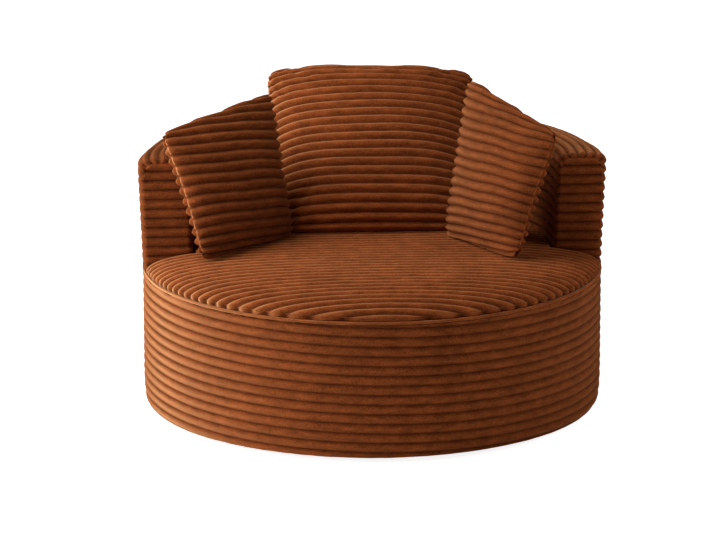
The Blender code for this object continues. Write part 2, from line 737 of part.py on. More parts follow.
def ribbed_section():
    """The section of the cover; its inner foot runs down behind the seat."""
    inner = ribbed_half("inner", SEAM_Z + crown(0, INNER_BACK_Y) - COVER_SKIN)
    outer = ribbed_half("outer", SEAM_Z + SEAM_CLEAR)
    foot = [("inner", 0, BACK_FRAME_Z, FLAT), ("inner", 0, inner[0][2] - RIB_DEPTH, FLAT)]
    hem = [("outer", 0, SEAM_Z + SEAM_CLEAR, FLAT)]
    return foot + inner + outer[::-1] + hem


def ladder(bm, row, left):
    """Closes the end of the back with rungs from its inner side to its outer side, top to foot."""
    right = left + 1
    while left > 0 and right < len(row) - 1:
        bm.faces.new((row[left - 1], row[left], row[right], row[right + 1]))
        left, right = left - 1, right + 1
    while left > 0:
        bm.faces.new((row[left - 1], row[left], row[right]))
        left -= 1
    while right < len(row) - 1:
        bm.faces.new((row[left], row[right], row[right + 1]))
        right += 1


def back_skin(bm, section, end_y, corner, channel=0.0):
    """Adds one closed-ended surface of the back and returns the loop of its open bottom."""
    rows = swept_back(bm, section, end_y, corner, channel)
    grid_faces(bm, rows)
    last_inner = sum(face == "inner" for face, _, _, _ in section) - 1
    for row in (rows[0], rows[-1]):
        ladder(bm, row, last_inner)
    return [row[0] for row in rows] + [row[-1] for row in reversed(rows)]


def back_cover():
    """The ribbed cover of the back and arms: one shell, open below."""
    bm = bmesh.new()
    outer = back_skin(bm, ribbed_section(), ARM_END_Y, ARM_CORNER_INSET, RIB_DEPTH)
    lining = back_outline(COVER_SKIN, LINING_STEPS)[:-1]
    lining[-1] = ("outer", COVER_SKIN, SEAM_Z + SEAM_CLEAR, FLAT)
    inner = back_skin(bm, lining, ARM_END_Y + COVER_SKIN, ARM_CORNER_INSET)
    join_loops(bm, outer, inner)
    return finish(mesh_object("back_cover", bm), RUST)


def back_foam():
    """The padding over the back's frame: an inverted channel with closed ends."""
    bm = bmesh.new()
    gap = COVER_SKIN + FIT_GAP
    flat = RADIUS - PAD_FLAT
    foot = [("outer", flat, SEAM_Z, FLAT), ("outer", flat, BACK_FRAME_Z, FLAT)]
    outer = back_skin(bm, back_outline(gap, LINING_STEPS)[:-1] + foot, ARM_END_Y + gap, ARM_CORNER_INSET)
    inside, outside = BOARD_IN - FIT_GAP, BOARD_OUT - FIT_GAP
    top = BACK_FRAME_TOP + FIT_GAP
    corners = (("inner", inside, BACK_FRAME_Z), ("inner", inside, top),
               ("outer", outside, top), ("outer", outside, BACK_FRAME_Z))
    cavity = [(*corner, FLAT) for corner in corners]
    inner = back_skin(bm, cavity, RAIL_END_Y - FIT_GAP, 0)
    join_loops(bm, outer, inner)
    return finish(mesh_object("back_foam", bm), FOAM)


def back_rails():
    """The rail that is bolted to the seat frame and the rail along the top."""
    inner, outer = ("inner", RAIL_IN), ("outer", RAIL_OUT)
    low_top, high = BACK_FRAME_Z + BACK_RAIL, BACK_FRAME_TOP - BACK_RAIL
    lower = closed_band("back_lower_rail", inner, outer, BACK_FRAME_Z, low_top, RAIL_END_Y)
    upper = closed_band("back_upper_rail", inner, outer, high, BACK_FRAME_TOP, RAIL_END_Y)
    return finish(lower, PLYWOOD), finish(upper, PLYWOOD)


def back_boards():
    """The thin bent boards on both faces of the back's frame."""
    faces = (("back_inner_board", "inner", BOARD_IN), ("back_outer_board", "outer", BOARD_OUT))
    for name, face, depth in faces:
        board = closed_band(name, (face, depth), (face, depth + BOARD), BACK_FRAME_Z,
                            BACK_FRAME_TOP, RAIL_END_Y)
        finish(board, HARDBOARD)


def back_posts():
    """Posts between the two rails and a board at each arm's end."""
    bottom = BACK_FRAME_Z + BACK_RAIL + FIT_GAP
    top = BACK_FRAME_TOP - BACK_RAIL - FIT_GAP
    height, middle = top - bottom, (top + bottom) / 2
    slack = RADIUS * (1 - math.cos(OUTER_HALF_STEP)) + 2 * FIT_GAP
    for i in range(BACK_POSTS):
        inner, outer = across_back((i + 1) / (BACK_POSTS + 1))
        across = outer - inner
        skews = [across.angle(inner - Vector((0, INNER_CENTRE_Y))), across.angle(outer)]
        near, far = [slack + POST_SIZE / 2 * math.tan(skew) for skew in skews]
        centre = (inner + outer) / 2 + across.normalized() * (near - far) / 2
        size = (across.length - near - far, POST_SIZE, height)
        post = block(f"back_post_{i + 1}", size, (*centre, middle), math.atan2(across.y, across.x))
        finish(post, PINE)
    for name, side in (("left", -1), ("right", 1)):
        inner, outer = level_station(side, RAIL_END_Y)
        centre = (inner + outer) / 2 + Vector((side * (RAIL_IN - RAIL_OUT) / 2, 0))
        width = (outer - inner).length - RAIL_IN - RAIL_OUT - 2 * slack
        place = (centre.x, RAIL_END_Y + PLY / 2, middle)
        finish(block(f"arm_end_board_{name}", (width, PLY, height), place), PLYWOOD)


def bolt_holes():
    """Round cutters for the bolts, through the top ring and the lower rail."""
    bottom, top = TOP_RING_TOP - 2 * PLY, BACK_FRAME_Z + 2 * BACK_RAIL
    bm = bmesh.new()
    for place in bolt_places():
        disc(bm, BOLT_RADIUS + FIT_GAP, bottom, top, place, sides=8)
    return mesh_object("bolt_holes_cutter", bm)


def back_bolts():
    """Bolts from under the top ring up through the lower rail, each with its nut."""
    ring_bottom = TOP_RING_TOP - PLY - FIT_GAP
    rail_top = BACK_FRAME_Z + BACK_RAIL
    head_bottom = ring_bottom - BOLT_HEAD_HEIGHT
    end = rail_top + NUT_HEIGHT + BOLT_RADIUS
    bolt = [(0, head_bottom), (BOLT_HEAD_RADIUS, head_bottom), (BOLT_HEAD_RADIUS, ring_bottom),
            (BOLT_RADIUS, ring_bottom), (BOLT_RADIUS, end), (0, end)]
    hole = (BOLT_RADIUS + FIT_GAP) / math.cos(math.pi / 6)
    low, high = rail_top + FIT_GAP, rail_top + FIT_GAP + NUT_HEIGHT
    nut = [(hole, low), (BOLT_HEAD_RADIUS, low), (BOLT_HEAD_RADIUS, high), (hole, high)]
    for number, (x, y) in enumerate(bolt_places()):
        for name, profile, sides in (("back_bolt", bolt, 8), ("back_bolt_nut", nut, 6)):
            piece = turned(f"{name}_{number + 1}", profile, sides)
            piece.location = (x, y, 0)
            finish(piece, ZINC)


# The pillows
def arc_places(half, thickness, count):
    """Shares of a panel's height at even steps along its bulged face."""
    fine = np.linspace(0, 1, 400)
    bulge = thickness / 2 * (1 - (2 * fine - 1) ** 2) ** 0.5
    run = np.hypot(np.diff(fine) * half, np.diff(bulge))
    length = np.concatenate([[0], np.cumsum(run)])
    return [float(np.interp(length[-1] * k / count, length, fine)) for k in range(count + 1)]


class Pillow:
    """A pillow's sizes, in its own frame: X across, Z up from its bottom seam, its front at -Y."""

    def __init__(self, name, width, left_height, right_height, thickness, back_share=1.0):
        self.name = name
        self.width = width
        self.left_height = left_height
        self.right_height = right_height
        self.thickness = thickness
        self.bulges = {-1: thickness / 2, 1: thickness / 2 * back_share}

    def middle(self, u, v):
        """A point of the seam plane, whose edges are drawn in between the corners."""
        height = self.left_height + (self.right_height - self.left_height) * u
        draw_side = PILLOW_EDGE_DRAW * math.sin(math.pi * v)
        draw_end = PILLOW_EDGE_DRAW * math.sin(math.pi * u)
        x = (u - 0.5) * (self.width - 2 * draw_side)
        z = draw_end + v * (height - 2 * draw_end)
        return x, z

    def point(self, u, v, side, inset, ribbed=0.0):
        """A point of the front (side -1) or back (side 1) panel, set in from the outer face."""
        x, z = self.middle(u, v)
        share = math.sqrt(max((1 - (2 * u - 1) ** 2) * (1 - (2 * v - 1) ** 2), 0))
        height = (self.left_height + self.right_height) / 2
        x *= 1 - 2 * inset / self.width
        z = height / 2 + (z - height / 2) * (1 - 2 * inset / height)
        fullness = share * share * (1 + LINING_EASE) / (share + LINING_EASE) if inset else share
        y = side * (self.bulges[side] - inset) * fullness
        x += ribbed * (2 * u - 1) * abs(2 * u - 1) ** 3
        return x, y + side * ribbed * min(share * RIB_FADE, 1), z

    def surface(self, bm, shares, columns, inset, depths, slit):
        """Adds both panels, sewn together but for the zip's slit; returns the slit's two lips."""
        count = len(columns) - 1
        open_columns = [k for k in range(1, count) if abs(2 * columns[k] - 1) < ZIP_LENGTH_SHARE]
        panels = []
        for side in (-1, 1):
            rows = []
            for number, v in enumerate(shares):
                ribbed = -depths[number % len(depths)]
                rows.append([self.point(u, v, side, inset, ribbed) for u in columns])
            panels.append(rows)
        last = len(shares) - 1
        verts = [[[None] * (count + 1) for _ in shares] for _ in range(2)]
        for number in range(len(shares)):
            for k in range(count + 1):
                seam = k in (0, count) or number in (0, last)
                front = bm.verts.new(panels[0][number][k])
                verts[0][number][k] = front
                if seam and not (number == 0 and k in open_columns):
                    verts[1][number][k] = front
                else:
                    verts[1][number][k] = bm.verts.new(panels[1][number][k])
        for k in open_columns:
            verts[0][0][k].co.y = -slit / 2
            verts[1][0][k].co.y = slit / 2
        for side in range(2):
            panel_faces(bm, verts[side])
        first, after = open_columns[0] - 1, open_columns[-1] + 2
        return [verts[side][0][first:after] for side in range(2)]

    def build(self, columns_per_side):
        """The cover, its insert and its zip, all in the pillow's own frame."""
        columns = [0.5 - 0.5 * math.cos(math.pi * k / columns_per_side) for k in range(columns_per_side + 1)]
        height = (self.left_height + self.right_height) / 2
        fine = arc_places(height, self.thickness, 400)
        bulge = [math.sqrt(max(1 - (2 * v - 1) ** 2, 0)) * self.thickness / 2 for v in fine]
        length = sum(math.hypot((fine[i + 1] - fine[i]) * height, bulge[i + 1] - bulge[i])
                     for i in range(400))
        ribs = round(length / RIB_PITCH)
        shares = arc_places(height, self.thickness, 2 * ribs)
        coarse = arc_places(height, self.thickness, 6)
        bm = bmesh.new()
        outer = self.surface(bm, shares, columns, 0, (RIB_DEPTH, 0), ZIP_OPENING)
        inner = self.surface(bm, coarse, columns, COVER_SKIN, (0,), ZIP_OPENING)
        for lip in range(2):
            grid_faces(bm, [outer[lip], inner[lip]])
        cover = finish(mesh_object(f"{self.name}_cover", bm), RUST)
        bm = bmesh.new()
        self.surface(bm, coarse, columns, COVER_SKIN + FIT_GAP, (0,), 0)
        insert = finish(mesh_object(f"{self.name}_insert", bm), FIBRE)
        return cover, insert, self.zip(columns)

    def zip(self, columns):
        """The closed zip: a strip that fills the slit in the bottom seam."""
        bm = bmesh.new()
        half = ZIP_OPENING / 2 - FIT_GAP
        rows = []
        for k, u in enumerate(columns):
            if abs(2 * u - 1) < ZIP_LENGTH_SHARE:
                x, _, z = self.point(u, 0, -1, 0)
                low, high = z + FIT_GAP, z + ZIP_DEPTH
                rows.append([bm.verts.new(p) for p in ((x, -half, low), (x, half, low),
                                                       (x, half, high), (x, -half, high))])
        for row in rows:
            row.append(row[0])
        grid_faces(bm, rows)
        for row in (rows[0], rows[-1]):
            bm.faces.new(row[:-1])
        return finish(mesh_object(f"{self.name}_zip", bm, smooth=False), RUST_ZIP)


def tree_of(obj, matrix=None):
    """A search tree over an object's mesh, moved by a matrix."""
    verts = [(matrix @ v.co if matrix else v.co) for v in obj.data.vertices]
    return BVHTree.FromPolygons(verts, [p.vertices[:] for p in obj.data.polygons])


def moved_until_touching(obj, matrix, direction, reach, obstacles):
    """Slides an object along a direction until it all but touches one of the obstacles."""
    direction = Vector(direction).normalized()

    def free(travel):
        tree = tree_of(obj, Matrix.Translation(direction * travel) @ matrix)
        return not any(tree.overlap(other) for other in obstacles)

    low, high = 0.0, reach
    for i in range(1, SETTLE_STEPS + 1):
        if not free(reach * i / SETTLE_STEPS):
            low, high = reach * (i - 1) / SETTLE_STEPS, reach * i / SETTLE_STEPS
            break
    else:
        return Matrix.Translation(direction * reach) @ matrix
    while high - low > SETTLE_CLOSE:
        middle = (low + high) / 2
        low, high = (middle, high) if free(middle) else (low, middle)
    return Matrix.Translation(direction * (low - REST_GAP)) @ matrix


def placed(pieces, start, lean, turn, push, obstacles):
    """Leans a pillow back, drops it on the seat, pushes it against what is behind and settles it."""
    cover = pieces[0]
    height = BACK_TOP + CENTER_PILLOW_HEIGHT
    matrix = Matrix.Translation((*start, height)) @ Euler((-lean, 0, turn)).to_matrix().to_4x4()
    matrix = moved_until_touching(cover, matrix, (0, 0, -1), height, obstacles)
    matrix = Matrix.Translation((0, 0, SETTLE_LIFT)) @ matrix
    matrix = moved_until_touching(cover, matrix, push, RADIUS, obstacles)
    matrix = moved_until_touching(cover, matrix, (0, 0, -1), height, obstacles)
    for piece in pieces:
        piece.matrix_world = matrix
    return tree_of(cover, matrix)


def pillows(seat, back):
    """The three loose pillows, each resting on the seat and against what is behind it."""
    obstacles = [tree_of(seat), tree_of(back)]
    center = Pillow("pillow_center", CENTER_PILLOW_WIDTH, CENTER_PILLOW_HEIGHT,
                    CENTER_PILLOW_HEIGHT, CENTER_PILLOW_THICKNESS).build(6)
    obstacles.append(placed(center, CENTER_PILLOW_START, CENTER_PILLOW_LEAN, 0,
                            CENTER_PILLOW_PUSH, obstacles))
    left = Pillow("pillow_left", SIDE_PILLOW_WIDTH, LEFT_PILLOW_OUTER_HEIGHT,
                  LEFT_PILLOW_INNER_HEIGHT, SIDE_PILLOW_THICKNESS, SIDE_PILLOW_BACK_SHARE).build(5)
    placed(left, LEFT_PILLOW_START, LEFT_PILLOW_LEAN, LEFT_PILLOW_TURN, LEFT_PILLOW_PUSH, obstacles)
    right = Pillow("pillow_right", SIDE_PILLOW_WIDTH, RIGHT_PILLOW_INNER_HEIGHT,
                   RIGHT_PILLOW_OUTER_HEIGHT, SIDE_PILLOW_THICKNESS, SIDE_PILLOW_BACK_SHARE).build(5)
    placed(right, RIGHT_PILLOW_START, RIGHT_PILLOW_LEAN, RIGHT_PILLOW_TURN, RIGHT_PILLOW_PUSH, obstacles)


def main():
    for obj in list(bpy.data.objects):
        bpy.data.objects.remove(obj, do_unlink=True)
    base_glides()
    base_plate()
    race_plate("swivel_lower_plate", LOWER_PLATE_Z + PLATE, 1)
    race_plate("swivel_upper_plate", UPPER_PLATE_Z, -1)
    swivel_ball_ring()
    frame_ring("frame_bottom_ring", RING_Z)
    top_ring = frame_ring("frame_top_ring", TOP_RING_TOP - PLY)
    frame_posts()
    frame_beams()
    seat_springs()
    seat_layers()
    seat_topper()
    seat = seat_cover()
    drum_side_cover()
    drum_layers()
    seam_piping()
    dust_cover()
    lower_rail, _ = back_rails()
    back_boards()
    back_posts()
    holes = bolt_holes()
    combine(top_ring, holes)
    combine(lower_rail, holes)
    back_foam()
    back = back_cover()
    back_bolts()
    pillows(seat, back)


main()
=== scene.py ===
"""Round armchair: corduroy covers, loose pillows, finishes for the solid parts and a plain studio.

Metres, +Z up, the front faces -Y. The solid parts come from the frame and are never moved.
"""

import json
import math

import bmesh
import bpy
import numpy as np
from bpy.props import FloatProperty, FloatVectorProperty, IntProperty, PointerProperty
from mathutils import Euler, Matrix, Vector
from mathutils.bvhtree import BVHTree


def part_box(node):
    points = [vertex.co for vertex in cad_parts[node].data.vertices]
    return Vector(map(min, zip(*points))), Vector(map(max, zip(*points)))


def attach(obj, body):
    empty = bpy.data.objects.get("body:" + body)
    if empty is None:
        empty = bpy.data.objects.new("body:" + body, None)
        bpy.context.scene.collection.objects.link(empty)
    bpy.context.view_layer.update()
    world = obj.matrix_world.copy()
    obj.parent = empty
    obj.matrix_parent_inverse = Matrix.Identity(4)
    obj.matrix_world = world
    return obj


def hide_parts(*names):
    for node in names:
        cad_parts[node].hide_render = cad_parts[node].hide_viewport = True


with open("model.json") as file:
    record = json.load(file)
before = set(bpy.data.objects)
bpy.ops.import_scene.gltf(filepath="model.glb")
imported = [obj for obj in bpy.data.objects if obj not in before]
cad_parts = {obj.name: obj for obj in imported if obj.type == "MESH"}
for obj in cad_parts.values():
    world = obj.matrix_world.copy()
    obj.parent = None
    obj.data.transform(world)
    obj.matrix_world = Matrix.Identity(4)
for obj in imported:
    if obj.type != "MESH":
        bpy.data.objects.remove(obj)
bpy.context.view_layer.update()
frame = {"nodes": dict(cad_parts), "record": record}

bl_info = {
    "name": "Round Armchair",
    "version": (1, 0, 0),
    "blender": (4, 5, 0),
    "location": "View3D > Sidebar > Armchair",
    "description": "Dresses the solid parts of a round armchair in ribbed corduroy",
    "category": "Object",
}


# Sizes that the solid parts give
DRUM_LOW, DRUM_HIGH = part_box("drum_side_cover")
WELT_LOW, WELT_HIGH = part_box("seam_piping")
SEAT_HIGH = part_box("seat_cover")[1]
BACK_LOW, BACK_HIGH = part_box("back_cover")
CLOTH_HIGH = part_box("dust_cover")[1]
SEAM_Z = (WELT_LOW[2] + WELT_HIGH[2]) / 2

# What follows needs no change by a user, and is in metres where it is a length. Half the gap in the
# seam round the seat, the covers' thickness, and the seat's gap to the arms
SEAM_CLEAR = 0.004
COVER_SKIN = 0.0095
REST_GAP = 0.0006

# The drum's hem, turned under and drawn in a little
HEM_RETURN = 0.025
HEM_TUCK = 0.005
HEM_TUCK_HEIGHT = 0.068
HEM_ROUND = 0.003

# The seat's dome, and how far its edge stays inside the drum's and off the back
CROWN_ROUNDNESS = 4
CROWN_FULLNESS = 0.4
SEAT_INSET = 0.003
SEAT_BACK_GAP = 0.0036

# The back's rolled top, which is narrower at the arm ends, the rounded edge of those ends, and the
# heights from which the ribs flatten at that edge, on the back and on the ends
ROLL_START_Z = 0.55
ROLL_RIBS = 9
END_ROLL = 0.022
END_ROLL_REACH = 0.2
END_CORNER = 0.012
TOP_ARCH = 0.003
TOP_SEAM_Z = 0.57
TOP_SEAM_BLEND = 0.01
PANEL_SEAM_Z = 0.575

# How much of a rib's height is left at a seam and how far from it, where the ribs begin, and the
# rib counts of a point on a crest and of one in a groove
SEAM_TRIM = 0.005
SEAM_RELIEF = 0.55
HEM_RIB = 0.0112
FRONT_RIB = 0.42
ON_CREST = 0.5
IN_GROOVE = 0.0

# How far the painted sheen leans to one flank of a rib, the painted highlight at a seam, the
# painted light towards the back's right and painted shade towards its left, the painted shade on
# the back's inner wall, and how far over the back that wall reaches
SHEEN_LEAN = 0.45
SEAM_HIGHLIGHT = 0.6
BACK_PAINTED_LIGHT = 0.35
INNER_WALL_SHADE = 0.5
INNER_WALL = 0.3

# What mottles the pile: its real size in metres, how dark and how light it is, and how far it is
# drawn out. The fibres are finer than the render can show, so they are drawn 1.1 mm wide.
BRUSHED_PATCHES = dict(size=0.07, span=(0.86, 1.14), detail=3.0)
CRUSHED_STREAKS = dict(size=0.012, span=(0.76, 1.24), detail=3.0, stretch=(0.4, 0.4, 1.4))
TUFTS = dict(size=0.003, span=(0.66, 1.34), detail=3.0)
FIBRES = dict(size=0.0011)

# The pile's tone where the painted light is none and how much painted light lifts it, how the
# grooves' painted shade fades up a rib, and how narrow the painted sheen and its crest are
PAINTED_LIGHT_LEVEL = 0.8
PAINTED_LIGHT_LIFT = 0.25
GROOVE_SHADE_FADE = 0.5
GLANCE_POWER = 3.0
CREST_POWER = 1.3

# Waves to a metre in the pile's swell and in the welt, and the welt's unevenness, size and place
SWELL_WAVES = 38.0
WELT_WAVES = 90.0
WELT_SWELL = 0.5
WELT_RADIUS = 0.0034
WELT_INSET = 0.0025

# The dust cloth's sag, in metres and in waves round it, its lie on the ring, and its staples
CLOTH_SAG = 0.0012
SAG_WAVES = (9, 5)
SAG_UNEVENNESS = 0.4
CLOTH_SINK = 0.0004
STAPLE_SIZE = (0.0008, 0.0006, 0.010)
STAPLE_EDGE = 0.0002
STAPLE_SPACING = 0.035
STAPLE_INSET = 0.009
STAPLE_SINK = 0.0009

# The part of a noise's range that nearly all of it lies in
NOISE_LOW = 0.3
NOISE_HIGH = 0.7

# How finely the covers are cut
STEPS_PER_RIB = 10
DRUM_STEPS = 288
SEAT_STEPS = 150
BACK_STEPS = 170
HEM_STEPS = 4
RETURN_STEPS = 12
SKIRT_STEPS = 6
CORNER_STEPS = 6
ARM_STEPS = 7
ROLL_STEPS = 24
ARCH_STEPS = 7
PANEL_STEPS = 24
CLOTH_RINGS = 13
CLOTH_STEPS = 192
CURVE_POINTS = 4000
WELD = 2e-6

# Kinds of node that are used throughout
MATH = "ShaderNodeMath"
VECTOR_MATH = "ShaderNodeVectorMath"
MIX = "ShaderNodeMix"
NOISE = "ShaderNodeTexNoise"
RANGE = "ShaderNodeMapRange"


# Plain helpers
def linear(hex_colour):
    """A display colour such as 8B4A26 as linear values with full opacity."""
    values = [int(hex_colour[i : i + 2], 16) / 255 for i in (0, 2, 4)]
    return [v / 12.92 if v <= 0.04045 else ((v + 0.055) / 1.055) ** 2.4 for v in values] + [1.0]


def smooth(x):
    """Eases 0 to 1."""
    x = np.clip(x, 0, 1)
    return x * x * (3 - 2 * x)


def cubic(values, places):
    """Values along the first axis, read at fractional places along a smooth curve."""
    last = len(values) - 1
    first = np.clip(np.floor(places).astype(int), 0, last - 1)
    t = (places - first).reshape(-1, *[1] * (values.ndim - 1))
    run = np.concatenate([[2 * values[0] - values[1]], values, [2 * values[-1] - values[-2]]])
    a, b, c, d = [run[first + k] for k in range(4)]
    curve = (2 * a - 5 * b + 4 * c - d) * t**2 + (3 * b - a - 3 * c + d) * t**3
    return 0.5 * (2 * b + (c - a) * t + curve)


def run_length(points):
    """Distance along a line of points, from its start."""
    steps = np.linalg.norm(np.diff(points, axis=0), axis=1)
    return np.concatenate([[0], np.cumsum(steps)])


def resampled(points, count):
    """A line of points at even steps of its length."""
    length = run_length(points)
    places = np.linspace(0, length[-1], count + 1)
    return np.stack([np.interp(places, length, points[:, i]) for i in range(points.shape[1])], 1)


def feed(tree, made, inputs):
    """Sets a node's inputs, by name or number, to values or to other nodes' outputs."""
    for key, value in inputs.items():
        if isinstance(value, bpy.types.NodeSocket):
            tree.links.new(value, made.inputs[key])
        else:
            made.inputs[key].default_value = value


def node(tree, kind, *inputs, out=0, **settings):
    """Adds a node with its settings and its inputs, in order or by name, and returns one output."""
    made = tree.nodes.new(kind)
    for key, value in settings.items():
        setattr(made, key, value)
    for key, value in enumerate(inputs):
        feed(tree, made, value if isinstance(value, dict) else {key: value})
    return made.outputs[out] if made.outputs else None


def chained(tree, kind, value, *steps):
    """Takes a value through a row of nodes, given as an operation with its further inputs each."""
    for operation, *others in steps:
        value = node(tree, kind, value, *others, operation=operation)
    return value


def linked(obj):
    """Puts an object in the scene."""
    bpy.context.scene.collection.objects.link(obj)
    return obj


def remove(obj):
    """Deletes an object and its mesh."""
    mesh = obj.data
    bpy.data.objects.remove(obj, do_unlink=True)
    bpy.data.meshes.remove(mesh)


def mesh_of(bm, name):
    """A new object with a finished mesh."""
    mesh = bpy.data.meshes.new(name)
    bm.to_mesh(mesh)
    bm.free()
    return linked(bpy.data.objects.new(name, mesh))


def grid_mesh(name, patches):
    """One mesh from grids of points, welded where they meet.

    A patch is a grid of points with its rib count, its trim, which is the share of a rib's height,
    and its painted light or shade, which is left out where it is none.
    """
    points, faces, ribs, trims, patch_lights, start = [], [], [], [], [], 0
    for grid, rib, trim, *lay in patches:
        rows, columns = grid.shape[:2]
        index = start + np.arange(rows * columns).reshape(rows, columns)
        corners = (index[:-1, :-1], index[:-1, 1:], index[1:, 1:], index[1:, :-1])
        faces.append(np.stack(corners, -1).reshape(-1, 4))
        points.append(grid.reshape(-1, 3))
        ribs.append(np.broadcast_to(rib, (rows, columns)).ravel())
        trims.append(np.broadcast_to(trim, (rows, columns)).ravel())
        patch_lights.append(np.broadcast_to(lay[0] if lay else 0.0, (rows, columns)).ravel())
        start += rows * columns
    mesh = bpy.data.meshes.new(name)
    mesh.from_pydata(np.concatenate(points).tolist(), [], np.concatenate(faces).tolist())
    for key, values in (("ribs", ribs), ("trim", trims), ("lay", patch_lights)):
        attribute = mesh.attributes.new(key, "FLOAT", "POINT")
        attribute.data.foreach_set("value", np.concatenate(values).astype(np.float32))
    bm = bmesh.new()
    bm.from_mesh(mesh)
    bmesh.ops.remove_doubles(bm, verts=bm.verts, dist=WELD)
    bmesh.ops.dissolve_degenerate(bm, edges=bm.edges, dist=WELD)
    bmesh.ops.recalc_face_normals(bm, faces=bm.faces)
    if bm.calc_volume(signed=True) < 0:
        bmesh.ops.reverse_faces(bm, faces=bm.faces)
    bm.to_mesh(mesh)
    bm.free()
    mesh.shade_smooth()
    return linked(bpy.data.objects.new(name, mesh))


def applied(obj, tree, inputs):
    """Runs a geometry tree on an object once and keeps its result as a plain mesh."""
    modifier = obj.modifiers.new(tree.name, "NODES")
    modifier.node_group = tree
    for item in tree.interface.items_tree:
        if item.item_type == "SOCKET" and item.in_out == "INPUT" and item.name in inputs:
            modifier[item.identifier] = inputs[item.name]
    depsgraph = bpy.context.evaluated_depsgraph_get()
    shaped = obj.evaluated_get(depsgraph)
    mesh = bpy.data.meshes.new_from_object(shaped, preserve_all_data_layers=True,
                                           depsgraph=depsgraph)
    name = obj.name
    old = obj.data
    obj.modifiers.remove(modifier)
    if obj.type == "MESH":
        obj.data = mesh
        bpy.data.meshes.remove(old)
    else:
        bpy.data.objects.remove(obj, do_unlink=True)
        obj = linked(bpy.data.objects.new(name, mesh))
    obj.name = obj.data.name = name
    return obj


def new_tree(name, sockets):
    """A geometry tree with named inputs; returns it with its inputs."""
    tree = bpy.data.node_groups.new(name, "GeometryNodeTree")
    tree.interface.new_socket(name="Geometry", in_out="INPUT", socket_type="NodeSocketGeometry")
    for label, kind in sockets:
        tree.interface.new_socket(name=label, in_out="INPUT", socket_type=f"NodeSocket{kind}")
    tree.interface.new_socket(name="Geometry", in_out="OUTPUT", socket_type="NodeSocketGeometry")
    return tree, tree.nodes.new("NodeGroupInput").outputs


def end_tree(tree, shape, material):
    """Closes a geometry tree: smooth, made real and given its material."""
    shape = node(tree, "GeometryNodeSetShadeSmooth", {"Geometry": shape})
    shape = node(tree, "GeometryNodeRealizeInstances", {"Geometry": shape})
    shape = node(tree, "GeometryNodeSetMaterial", {"Geometry": shape, "Material": material})
    node(tree, "NodeGroupOutput", {"Geometry": shape})
    return tree


def recorded(tree, shape, values):
    """A shape whose points keep the values, by name, for its material."""
    for name, value in values.items():
        shape = node(tree, "GeometryNodeStoreNamedAttribute",
                     {"Geometry": shape, "Name": name, "Value": value},
                     data_type="FLOAT", domain="POINT")
    return shape


def wales_tree():
    """Sinks grooves between the ribs into a cover and records each point's rib height and painted
    light.
    """
    sizes = ("Depth", "Roundness", "Fullness", "Unevenness", "Nap")
    sockets = [*((size, "Float") for size in sizes), ("Cloth", "Material")]
    tree, given = new_tree("Corduroy wales", sockets)
    ribs, trim, lay = [
        node(tree, "GeometryNodeInputNamedAttribute", {"Name": name}, data_type="FLOAT")
        for name in ("ribs", "trim", "lay")]
    # From 0 on a rib's crest to 1 in its grooves, and from that the rib's height, from 1 to 0
    edge = chained(tree, MATH, ribs, ("FRACT",), ("MULTIPLY_ADD", 2.0, -1.0), ("ABSOLUTE",),
                   ("POWER", given["Roundness"]))
    crest = chained(tree, MATH, 1.0, ("SUBTRACT", edge), ("MAXIMUM", 0.0),
                    ("POWER", given["Fullness"]))
    # Painted highlight along a seam, added to the patch's and the piece's painted light and shade
    nap = chained(tree, MATH, trim, ("MULTIPLY_ADD", -SEAM_HIGHLIGHT, SEAM_HIGHLIGHT), ("ADD", lay),
                  ("ADD", given["Nap"]))
    shape = recorded(tree, given["Geometry"], {"wale": crest, "nap": nap})
    noise = node(tree, NOISE, {"Scale": SWELL_WAVES, "Detail": 3.0, "Roughness": 0.6})
    uneven = chained(tree, MATH, noise, ("SUBTRACT", 0.5), ("MULTIPLY", given["Unevenness"]))
    sunk = chained(tree, MATH, crest, ("MULTIPLY", trim), ("SUBTRACT", 1.0),
                   ("MULTIPLY", given["Depth"]), ("ADD", uneven))
    normal = node(tree, "GeometryNodeInputNormal")
    offset = node(tree, VECTOR_MATH, {0: normal, "Scale": sunk}, operation="SCALE")
    shape = node(tree, "GeometryNodeSetPosition", {"Geometry": shape, "Offset": offset})
    return end_tree(tree, shape, given["Cloth"])


def welt_tree():
    """A round cord of cloth along a line, a little uneven in thickness."""
    tree, given = new_tree("Welt", (("Radius", "Float"), ("Cloth", "Material")))
    noise = node(tree, NOISE, {"Scale": WELT_WAVES, "Detail": 2.0})
    share = node(tree, MATH, noise, WELT_SWELL, 1 - WELT_SWELL / 2, operation="MULTIPLY_ADD")
    profile = node(tree, "GeometryNodeCurvePrimitiveCircle",
                   {"Resolution": 10, "Radius": given["Radius"]})
    cord = node(tree, "GeometryNodeCurveToMesh",
                {"Curve": given["Geometry"], "Profile Curve": profile, "Scale": share})
    # The welt takes the crest's colour and full painted light, a painted highlight along the seam
    return end_tree(tree, recorded(tree, cord, {"wale": 1.0, "nap": 1.0}), given["Cloth"])


def repeat_tree():
    """Copies of one piece at even steps along a line, each turned along it."""
    sockets = (("Piece", "Object"), ("Spacing", "Float"), ("Finish", "Material"))
    tree, given = new_tree("Repeat along a line", sockets)
    points = node(tree, "GeometryNodeCurveToPoints",
                  {"Curve": given["Geometry"], "Length": given["Spacing"]}, mode="LENGTH")
    piece = node(tree, "GeometryNodeObjectInfo", {"Object": given["Piece"]}, out="Geometry",
                 transform_space="ORIGINAL")
    turned = points.node.outputs["Rotation"]
    copies = node(tree, "GeometryNodeInstanceOnPoints",
                  {"Points": points, "Instance": piece, "Rotation": turned})
    return end_tree(tree, copies, given["Finish"])


def line_object(name, points, closed=False):
    """A curve object through the points."""
    curve = bpy.data.curves.new(name, "CURVE")
    curve.dimensions = "3D"
    spline = curve.splines.new("POLY")
    spline.points.add(len(points) - 1)
    spline.points.foreach_set("co", np.c_[points, np.ones(len(points))].ravel())
    spline.use_cyclic_u = closed
    return linked(bpy.data.objects.new(name, curve))


